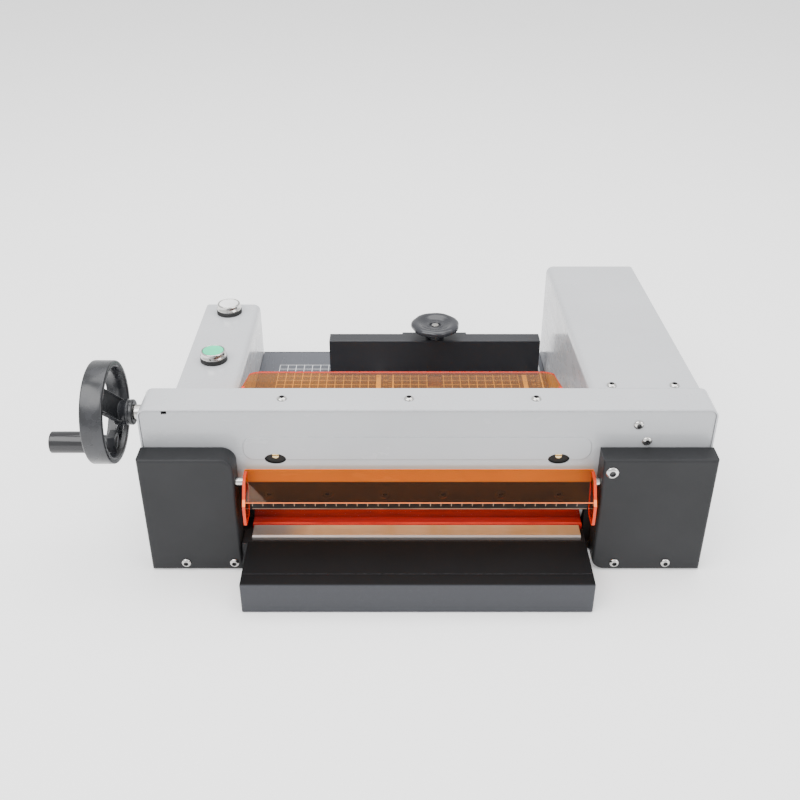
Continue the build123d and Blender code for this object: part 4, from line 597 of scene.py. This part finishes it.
# ---- handwheel and its grip -----------------------------------------------------
shaft_low, shaft_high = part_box("clamp_shaft")
shaft_y, shaft_z = (shaft_low.y + shaft_high.y) / 2, (shaft_low.z + shaft_high.z) / 2
wheel_low, wheel_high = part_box("handwheel")
wheel_radius = (wheel_high.z - wheel_low.z) / 2
RIM_WIDTH, RIM_BAND, BOSS_PROUD = 20.2 * MM, 6.0 * MM, 0.8 * MM
WHEEL_INNER_FACE = wheel_low.x + BOSS_PROUD + RIM_WIDTH
ARM_LEANS = (math.radians(140), math.radians(320))     # from straight down, towards the operator
ARM_AT_HUB, ARM_AT_RIM, ARM_FOOT, ARM_END = -271.0 * MM, -284.5 * MM, 4.0 * MM, 44.6 * MM
ARM_DEPTH, ARM_RIDGE, RIDGE_CREST, RIDGE_FOOT = 5.6 * MM, 0.8 * MM, 1.0 * MM, 1.8 * MM
LUG_FACE, LUG_DEPTH, LUG_TOP, LUG_HALF = -281.6 * MM, 7.4 * MM, 24.0 * MM, 7.0 * MM
HUB_END, RIM_GAP = 1.1 * MM, 0.6 * MM


def wheel_arm(mesh, lean, stations, depth, ridge):
    """A flat arm in the wheel, ridged along both edges; its stations are (x, radius, half width)."""
    outward = Vector((0, -math.sin(lean), -math.cos(lean)))
    sideways = Vector((0, math.cos(lean), -math.sin(lean)))
    sections = []
    for x, radius, half in stations:
        centre = Vector((x, shaft_y, shaft_z)) + outward * radius
        across = [(half, ridge), (half, -depth), (-half, -depth), (-half, ridge),
                  (RIDGE_CREST - half, ridge), (RIDGE_FOOT - half, 0.0),
                  (half - RIDGE_FOOT, 0.0), (half - RIDGE_CREST, ridge)]
        sections.append([mesh.verts.new(centre + sideways * side + Vector((rise, 0, 0)))
                         for side, rise in across])
    for lower, upper in zip(sections, sections[1:]):
        for i in range(len(lower)):
            j = (i + 1) % len(lower)
            mesh.faces.new((lower[i], lower[j], upper[j], upper[i]))
    mesh.faces.new(list(reversed(sections[0])))
    mesh.faces.new(sections[-1])


def handwheel():
    """A cast wheel: a broad band, two flat arms that slope from it to the hub, and the handle's lug."""
    mesh = bmesh.new()
    place = frame_at(Vector((WHEEL_INNER_FACE, shaft_y, shaft_z)), (-1, 0, 0))
    outer, inner = wheel_radius, wheel_radius - RIM_BAND
    round_edge = 1.6 * MM
    section = (arc(outer - round_edge, round_edge, round_edge, -90, 0, 4)
               + arc(outer - round_edge, RIM_WIDTH - round_edge, round_edge, 0, 90, 4)
               + [(inner + 0.6 * MM, RIM_WIDTH), (inner, RIM_WIDTH - 0.7 * MM),
                  (inner - 0.5 * MM, RIM_WIDTH - 6 * MM), (inner - 1.2 * MM, RIM_WIDTH - 8 * MM),
                  (inner - 1.2 * MM, 6.5 * MM), (inner - 0.5 * MM, 5.0 * MM), (inner, 1.6 * MM),
                  (inner + 0.3 * MM, 0.9 * MM), (inner + 0.9 * MM, 0.6 * MM), (inner + 1.2 * MM, 0.0)])
    segments = 128
    around = [math.tau * i / segments for i in range(segments)]
    loops = [[mesh.verts.new(place @ Vector((r * math.cos(angle), r * math.sin(angle), z))) for angle in around]
             for r, z in section]
    for k, loop in enumerate(loops):
        following = loops[(k + 1) % len(loops)]
        for i in range(segments):
            j = (i + 1) % segments
            mesh.faces.new((loop[i], loop[j], following[j], following[i]))
    reach = wheel_high.x - WHEEL_INNER_FACE
    hub = [(10.8 * MM, HUB_END), (11.6 * MM, HUB_END - 0.8 * MM),
           (11.6 * MM, -reach + 8.0 * MM), (12.0 * MM, -reach + 7.4 * MM), (12.0 * MM, -reach + 5.2 * MM),
           (11.3 * MM, -reach + 4.8 * MM), (11.3 * MM, -reach + 4.0 * MM), (12.0 * MM, -reach + 3.6 * MM),
           (12.0 * MM, -reach + 1.0 * MM), (11.2 * MM, -reach), (4.02 * MM, -reach)]
    turn(mesh, hub, place, 64)
    slope = (ARM_AT_RIM - ARM_AT_HUB) / (ARM_END - ARM_FOOT)
    arm = [(ARM_AT_HUB + slope * (radius - ARM_FOOT), radius, half)
           for radius, half in ((ARM_FOOT, 10.8 * MM), (15 * MM, 10.9 * MM), (34 * MM, 11.2 * MM),
                                (inner - RIM_GAP, 12.4 * MM))]
    for lean in ARM_LEANS:
        wheel_arm(mesh, lean, arm, ARM_DEPTH, ARM_RIDGE)
    lug = [(LUG_FACE, LUG_TOP, LUG_HALF), (LUG_FACE, inner - RIM_GAP, LUG_HALF)]
    wheel_arm(mesh, 0.0, lug, LUG_DEPTH, 0.0)
    piece = add_piece("handwheel_cast", to_data("handwheel_cast", mesh), wheel_black, "wheel",
                      "black_gloss", "handwheel")
    soften(piece, 0.4 * MM, 2)


BOSS_START, BOSS_LENGTH = 2 * MM, 17.3 * MM


def boss_and_spindle():
    """The handle's boss on the wheel and the steel pin through the grip."""
    low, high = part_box("handle_spindle")
    centre = (low + high) / 2
    mesh = bmesh.new()
    place = frame_at(Vector((high.x, centre.y, centre.z)), (-1, 0, 0))
    length = high.x - low.x
    turn(mesh, [(2.6 * MM, 0), (3.0 * MM, 0.4 * MM), (3.0 * MM, length - 2.6 * MM),
                (4.9 * MM, length - 2.5 * MM), (5.0 * MM, length - 1.0 * MM), (4.4 * MM, length - 0.3 * MM),
                (1.9 * MM, length), (1.8 * MM, length - 0.6 * MM)], place, 48)
    add_piece("grip_spindle", to_data("grip_spindle", mesh), finishes["ground_steel"], "wheel",
              "ground_steel", "handle_spindle")
    mesh = bmesh.new()
    boss = frame_at(Vector((high.x + BOSS_START, centre.y, centre.z)), (-1, 0, 0))
    turn(mesh, [(5.4 * MM, 0), (6.6 * MM, 0.8 * MM), (7.0 * MM, 4 * MM), (7.0 * MM, BOSS_LENGTH - 0.8 * MM),
                (6.3 * MM, BOSS_LENGTH), (3.05 * MM, BOSS_LENGTH)], boss, 48)
    add_piece("grip_boss", to_data("grip_boss", mesh), wheel_black, "wheel", "black_gloss")


def grip():
    """A straight glossy sleeve with broken ends and a recess around the pin's head."""
    low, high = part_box("handle_grip")
    radius, length = (high.z - low.z) / 2, high.x - low.x
    place = frame_at(Vector((high.x, (low.y + high.y) / 2, (low.z + high.z) / 2)), (-1, 0, 0))
    profile = ([(3.1 * MM, 0.6 * MM), (radius * 0.6, 0.2 * MM)]
               + arc(radius - 2.0 * MM, 2.0 * MM, 2.0 * MM, -90, 0)
               + arc(radius - 1.4 * MM, length - 1.4 * MM, 1.4 * MM, 0, 90)
               + [(radius * 0.56, length), (radius * 0.54, length - 3.2 * MM), (3.1 * MM, length - 3.6 * MM)])
    mesh = bmesh.new()
    turn(mesh, profile, place, 96)
    add_piece("grip_sleeve", to_data("grip_sleeve", mesh), finishes["black_gloss"], "grip",
              "black_gloss", "handle_grip")


# ---- gauge knob -----------------------------------------------------------------
LOBES, LOBE_TURN = 7, 0.6


def gauge_knob():
    """A flat seven-lobed knob on a stem, dished on top, with the stud's end in its middle."""
    low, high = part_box("gauge_knob")
    centre = (low + high) / 2
    radius, height = (high.x - low.x) / 2, high.z - low.z
    place = Matrix.Translation((centre.x, centre.y, low.z))

    def lobed(base, depth):
        return lambda angle: base * (1 - depth * (0.5 + 0.5 * math.cos(LOBES * angle + LOBE_TURN)) ** 2)

    rings = [(10.4 * MM, 0), (11 * MM, 0.6 * MM), (11 * MM, height - 11.2 * MM),
             (13.0 * MM, height - 10.6 * MM),
             (lobed(radius * 0.82, 0.015), height - 8.6 * MM), (lobed(radius * 0.93, 0.025), height - 7.4 * MM),
             (lobed(radius * 0.985, 0.035), height - 5.8 * MM), (lobed(radius, 0.035), height - 4.2 * MM),
             (lobed(radius * 0.985, 0.035), height - 2.6 * MM), (lobed(radius * 0.94, 0.03), height - 1.2 * MM),
             (lobed(radius * 0.87, 0.02), height - 0.25 * MM), (lobed(radius * 0.79, 0.01), height),
             (lobed(radius * 0.71, 0.005), height - 0.3 * MM), (radius * 0.60, height - 1.5 * MM),
             (radius * 0.50, height - 2.9 * MM), (radius * 0.40, height - 3.7 * MM),
             (radius * 0.33, height - 3.9 * MM), (radius * 0.31, height - 3.5 * MM),
             (radius * 0.26, height - 3.3 * MM), (radius * 0.235, height - 3.6 * MM),
             (radius * 0.225, height - 5.4 * MM), (4.1 * MM, height - 5.4 * MM)]
    mesh = bmesh.new()
    turn(mesh, rings, place, 140)
    add_piece("star_knob", to_data("star_knob", mesh, math.radians(60)), finishes["knob_plastic"],
              "knob", "knob_plastic", "gauge_knob")


# ---- screws ---------------------------------------------------------------------
HEAD = 2.5 * MM


def socket_screw(mesh, seat, normal, radius):
    """A button head with a hexagon socket; the socket and the underside take the second, black finish: painted
    shade in the socket and a painted shadow ring under the head.
    """
    height = HEAD
    place = frame_at(seat, normal)

    def hexagon(angle):
        return radius * 0.42 / math.cos((angle % (math.pi / 3)) - math.pi / 6)

    dome = [(radius * math.cos(a), height * (0.12 + 0.88 * math.sin(a))) for a in
            (math.radians(d) for d in (4, 16, 30, 44, 56, 66))]
    first = len(mesh.faces)
    turn(mesh, [(radius * 0.93, 0), (radius * 0.93, height * 0.10), (radius, height * 0.12)] + dome +
         [(radius * 0.50, height * 0.975), (hexagon, height * 0.93), (hexagon, height * 0.35),
          (radius * 0.12, height * 0.28)], place, 48)
    mesh.faces.ensure_lookup_table()
    # socket faces: painted shade; bottom band of the head: painted shadow ring
    for face in mesh.faces[first:]:
        middle = place.inverted() @ face.calc_center_median()
        shaded_socket = math.hypot(middle.x, middle.y) < radius * 0.46 and middle.z < height * 0.97
        face.material_index = 1 if shaded_socket or middle.z < height * 0.11 else 0


SCREW_SPREAD = 9.6 * MM


def screw_seats():
    """The box of each cover screw, gathered from the CAD node's vertices."""
    boxes = []
    for vertex in nodes["cover_screws"].data.vertices:
        point = vertex.co
        near = [box for box in boxes if ((box[0] + box[1]) / 2 - point).length < SCREW_SPREAD]
        if near:
            low, high = near[0]
            for k in range(3):
                low[k], high[k] = min(low[k], point[k]), max(high[k], point[k])
        else:
            boxes.append((point.copy(), point.copy()))
    return boxes


def cover_screws():
    """Bright socket screws in the hood, panel, arms and front covers, and the oversize bolt."""
    mesh = bmesh.new()
    for low, high in screw_seats():
        size = high - low
        middle = (low + high) / 2
        upright = abs(size.y - size.x) < abs(size.z - size.x)
        if upright:
            seat, normal = Vector((middle.x, middle.y, high.z - HEAD)), Vector((0, 0, 1))
        else:
            seat, normal = Vector((middle.x, low.y + HEAD, middle.z)), Vector((0, -1, 0))
        socket_screw(mesh, seat, normal, size.x / 2)
    # second finish black_gloss: painted shade in the sockets and painted shadow ring under the heads
    add_piece("bright_screws", to_data("bright_screws", mesh, math.radians(40)),
              [finishes["chrome_screw"], finishes["black_gloss"]], "machine",
              "chrome_screw", "cover_screws")
    low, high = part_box("cover_bolt")
    mesh = bmesh.new()
    seat = Vector(((low.x + high.x) / 2, low.y + HEAD, (low.z + high.z) / 2))
    socket_screw(mesh, seat, (0, -1, 0), (high.x - low.x) / 2)
    # second finish black_gloss: painted shade in the socket and painted shadow ring under the head
    add_piece("lift_bolt", to_data("lift_bolt", mesh, math.radians(40)),
              [finishes["chrome_screw"], finishes["black_gloss"]], "machine",
              "chrome_screw", "cover_bolt")


# ---- push buttons ---------------------------------------------------------------
GASKET_RIBS = 3


def push_buttons():
    """Chromed bezels over ribbed rubber rings, with a domed cap in each."""
    for name, finish in (("green", "green_plastic"), ("white", "white_plastic")):
        low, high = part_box(f"{name}_button")
        x, y = (low.x + high.x) / 2, (low.y + high.y) / 2
        cap_radius = (high.x - low.x) / 2
        gasket_low, gasket_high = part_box("button_gaskets")
        bezel_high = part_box("button_bezels")[1]
        outer = (gasket_high.x - gasket_low.x) / 2
        base, seat, top = gasket_low.z, gasket_high.z, bezel_high.z
        place = Matrix.Translation((x, y, 0))
        mesh = bmesh.new()
        crown = [(cap_radius * s, high.z - 1.0 * MM * s ** 4) for s in (0.98, 0.93, 0.85, 0.7, 0.5, 0.25)]
        turn(mesh, [(cap_radius * 0.7, high.z - 3.2 * MM), (cap_radius, high.z - 3.1 * MM),
                    (cap_radius, high.z - 1.4 * MM)] + crown + [(0.3 * MM, high.z)], place, 72)
        add_piece(f"{name}_cap", to_data(f"{name}_cap", mesh), finishes[finish], name, finish,
                  f"{name}_button")
        mesh = bmesh.new()
        inner = cap_radius + 0.3 * MM
        wall = outer - 0.4 * MM
        turn(mesh, [(inner - 2 * MM, seat + 0.1 * MM), (wall - 0.6 * MM, seat), (wall, seat + 0.5 * MM),
                    (wall, seat + 1.6 * MM), (wall - 0.7 * MM, seat + 2.4 * MM),
                    (wall - 1.0 * MM, top - 1.6 * MM), (wall - 1.2 * MM, top - 0.5 * MM),
                    (wall - 1.7 * MM, top - 0.1 * MM), (wall - 2.3 * MM, top),
                    (inner + 0.2 * MM, top - 0.1 * MM), (inner, top - 0.5 * MM),
                    (inner, seat + 0.9 * MM)], place, 96)
        replaced = ("button_bezels",) if name == "green" else ()
        add_piece(f"{name}_bezel", to_data(f"{name}_bezel", mesh, math.radians(50)),
                  finishes["chrome_screw"], "machine", "chrome_screw", *replaced)
        mesh = bmesh.new()
        ribs = []
        for rib in range(GASKET_RIBS):
            foot = base + (seat - base) * rib / GASKET_RIBS
            ribs += [(outer, foot + 0.3 * MM), (outer, foot + 1.1 * MM), (outer - 0.5 * MM, foot + 1.4 * MM)]
        turn(mesh, [(outer - 1.2 * MM, base)] + ribs
             + [(outer - 0.6 * MM, seat), (outer - 4 * MM, seat)], place, 96)
        replaced = ("button_gaskets",) if name == "green" else ()
        add_piece(f"{name}_gasket", to_data(f"{name}_gasket", mesh, math.radians(50)),
                  finishes["foot_rubber"], "machine", "black_cover", *replaced)


# ---- clear guards ---------------------------------------------------------------
SHEET = 3.0 * MM
FRONT_NEAR, FRONT_FAR = Vector((-20.5, 105.5)) * MM, Vector((-48.0, 87.5)) * MM
REAR_NEAR, REAR_FAR, REAR_ROUND = Vector((28.5, 149.0)) * MM, Vector((142.0, 117.0)) * MM, 12 * MM


def clear_piece(name, mesh, edge_faces, sheet_finish, body, *replaced):
    """Finish a guard: clear faces, cut edges with a painted glow."""
    for face in edge_faces:
        face.material_index = 1
    data = to_data(name, mesh, math.radians(30))
    piece = add_piece(name, data, [sheet_finish, painted_glow_edge], body, "amber_acrylic", *replaced)
    soften(piece, 0.35 * MM, 2)


def sloping_sheet(mesh, left_x, width, near, far, radii):
    """A flat clear sheet from its near to its far edge; near and far are (y, z).  Returns its edge faces."""
    slope = far - near
    across = Vector((0, slope.x, slope.y)).normalized()
    normal = Vector((1, 0, 0)).cross(across)
    normal = normal if normal.z > 0 else -normal
    place = Matrix(((1, across.x, normal.x, left_x), (0, across.y, normal.y, near.x),
                    (0, across.z, normal.z, near.y), (0, 0, 0, 1)))
    outline = [(0, 0), (width, 0), (width, slope.length), (0, slope.length)]
    return slab(mesh, rounded_outline(outline, radii), -SHEET, 0, place)


def side_plates(mesh, low_x, high_x, outline, radii, origin=(0, 0)):
    """A clear plate standing at each side of a guard.  Returns their edge faces."""
    edge_faces = []
    corners = rounded_outline([(y * MM, z * MM) for y, z in outline], [radius * MM for radius in radii])
    for left in (low_x, high_x - SHEET):
        place = Matrix(((0, 0, 1, left), (1, 0, 0, origin[0]), (0, 1, 0, origin[1]), (0, 0, 0, 1)))
        edge_faces += slab(mesh, corners, 0, SHEET, place)
    return edge_faces


def front_guard():
    """A narrow sloping shield with an end plate at each side."""
    low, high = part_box("front_guard")
    mesh = bmesh.new()
    edge_faces = sloping_sheet(mesh, low.x, high.x - low.x, FRONT_NEAR, FRONT_FAR, [1 * MM] * 4)
    plate = [(-21.5, 103.0), (-24.0, 92.0), (-29.0, 66.0), (-33.0, 62.0), (-50.5, 62.0), (-50.5, 84.0),
             (-37.0, 103.5), (-24.5, 106.0)]
    edge_faces += side_plates(mesh, low.x, high.x, plate, [2, 2, 2, 1.5, 2, 4, 3, 1.5])
    clear_piece("front_shield", mesh, edge_faces, finishes["amber_acrylic"], "front_shield", "front_guard")


def rear_guard():
    """The wide clear shield over the paper, with rounded far corners and ears at the hinge."""
    low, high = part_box("rear_guard")
    mesh = bmesh.new()
    edge_faces = sloping_sheet(mesh, low.x, high.x - low.x, REAR_NEAR, REAR_FAR,
                               [1 * MM, 1 * MM, REAR_ROUND, REAR_ROUND])
    pivot = joints["rear_shield_hinge"]["pos_m"]
    ear = [(-4, -3), (8, -10), (60, -19), (60, -16), (4, 0.6), (-2, 4)]
    edge_faces += side_plates(mesh, low.x, high.x, ear, [1.2, 2, 0.5, 0.5, 0.3, 1.2], (pivot[1], pivot[2]))
    clear_piece("rear_shield", mesh, edge_faces, amber_deep, "rear_shield", "rear_guard")


# ---- scale numbers --------------------------------------------------------------
NUMBER_COLUMNS, NUMBER_SIZE, INK_LIFT = (-0.0335, 0.1440), 0.0052, 0.00003
FIRST_NUMBER, LAST_NUMBER = 3, 29


def numbers():
    """Printed centimetre numbers in the two columns of the table grid."""
    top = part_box("rear_table")[1].z + INK_LIFT
    mesh = bmesh.new()
    for column_x in NUMBER_COLUMNS:
        for centimetre in range(FIRST_NUMBER, LAST_NUMBER + 1):
            curve = bpy.data.curves.new("digit", "FONT")
            curve.body = str(centimetre)
            curve.size = NUMBER_SIZE
            curve.align_x, curve.align_y = "CENTER", "CENTER"
            text = bpy.data.objects.new("digit", curve)
            printed = bpy.data.meshes.new_from_object(text)
            printed.transform(Matrix.Translation((column_x, centimetre * GRID_PITCH, top)))
            mesh.from_mesh(printed)
            bpy.data.meshes.remove(printed)
            bpy.data.objects.remove(text)
            bpy.data.curves.remove(curve)
    data = bpy.data.meshes.new("table_numbers")
    mesh.to_mesh(data)
    mesh.free()
    ink = moulded("pale_ink", PRINT_PALE, 0.4, 0.1)
    add_piece("table_numbers", data, ink, "machine", "grid_table")


handwheel()
boss_and_spindle()
grip()
gauge_knob()
cover_screws()
push_buttons()
front_guard()
rear_guard()
numbers()


# ---- studio ---------------------------------------------------------------------
FLOOR_REACH, FLOOR_DROP = 6.0, 0.0002


def floor():
    """A pale seamless floor with a faint paper texture."""
    finish = Finish("studio_paper", (0.93, 0.93, 0.93), 0.9, Emission_Color=(1.0, 1.0, 1.0, 1.0),
                    Emission_Strength=0.35)
    paper = finish.blend(finish.noise(3, 3), (0.91, 0.91, 0.91), (0.94, 0.94, 0.94))
    finish.set(finish.shader, "Base Color", paper)
    mesh = bmesh.new()
    corners = ((-1, -1), (1, -1), (1, 1), (-1, 1))
    mesh.faces.new([mesh.verts.new((x * FLOOR_REACH, y * FLOOR_REACH, cad_low.z - FLOOR_DROP))
                    for x, y in corners])
    data = bpy.data.meshes.new("studio_floor")
    mesh.to_mesh(data)
    mesh.free()
    data.materials.append(finish.material)
    plane = bpy.data.objects.new("studio_floor", data)
    bpy.context.scene.collection.objects.link(plane)


def softbox(name, position, target, size, power):
    """A rectangular area light aimed at a point."""
    light = bpy.data.lights.new(name, "AREA")
    light.shape, light.size, light.size_y, light.energy = "RECTANGLE", size[0], size[1], power
    lamp = bpy.data.objects.new(name, light)
    bpy.context.scene.collection.objects.link(lamp)
    lamp.location = position
    lamp.rotation_euler = (Vector(target) - Vector(position)).to_track_quat("-Z", "Y").to_euler()


floor()
middle = (cad_low + cad_high) / 2
softbox("key_light", (-0.9, -0.7, 1.7), middle, (1.6, 1.2), 36)
softbox("top_light", (0.2, 0.6, 2.0), middle, (2.2, 1.4), 40)
softbox("fill_light", (1.6, -0.9, 1.0), middle, (1.2, 1.2), 16)

SKY_STRENGTH = 1.3
world = bpy.data.worlds.new("studio_world")
world.use_nodes = True
world.node_tree.nodes["Background"].inputs["Color"].default_value = (1.0, 1.0, 1.0, 1.0)
world.node_tree.nodes["Background"].inputs["Strength"].default_value = SKY_STRENGTH
bpy.context.scene.world = world

CAMERA_PLACE = (-0.0158, -0.7795, 0.6418)
CAMERA_PITCH, CAMERA_LENS, CAMERA_SENSOR = math.radians(58.7), 45.03, 36.0
camera_data = bpy.data.cameras.new("camera")
camera_data.lens, camera_data.sensor_width, camera_data.clip_start = CAMERA_LENS, CAMERA_SENSOR, 0.01
camera = bpy.data.objects.new("camera", camera_data)
camera.location, camera.rotation_euler = CAMERA_PLACE, Euler((CAMERA_PITCH, 0, 0))
bpy.context.scene.collection.objects.link(camera)
bpy.context.scene.camera = camera
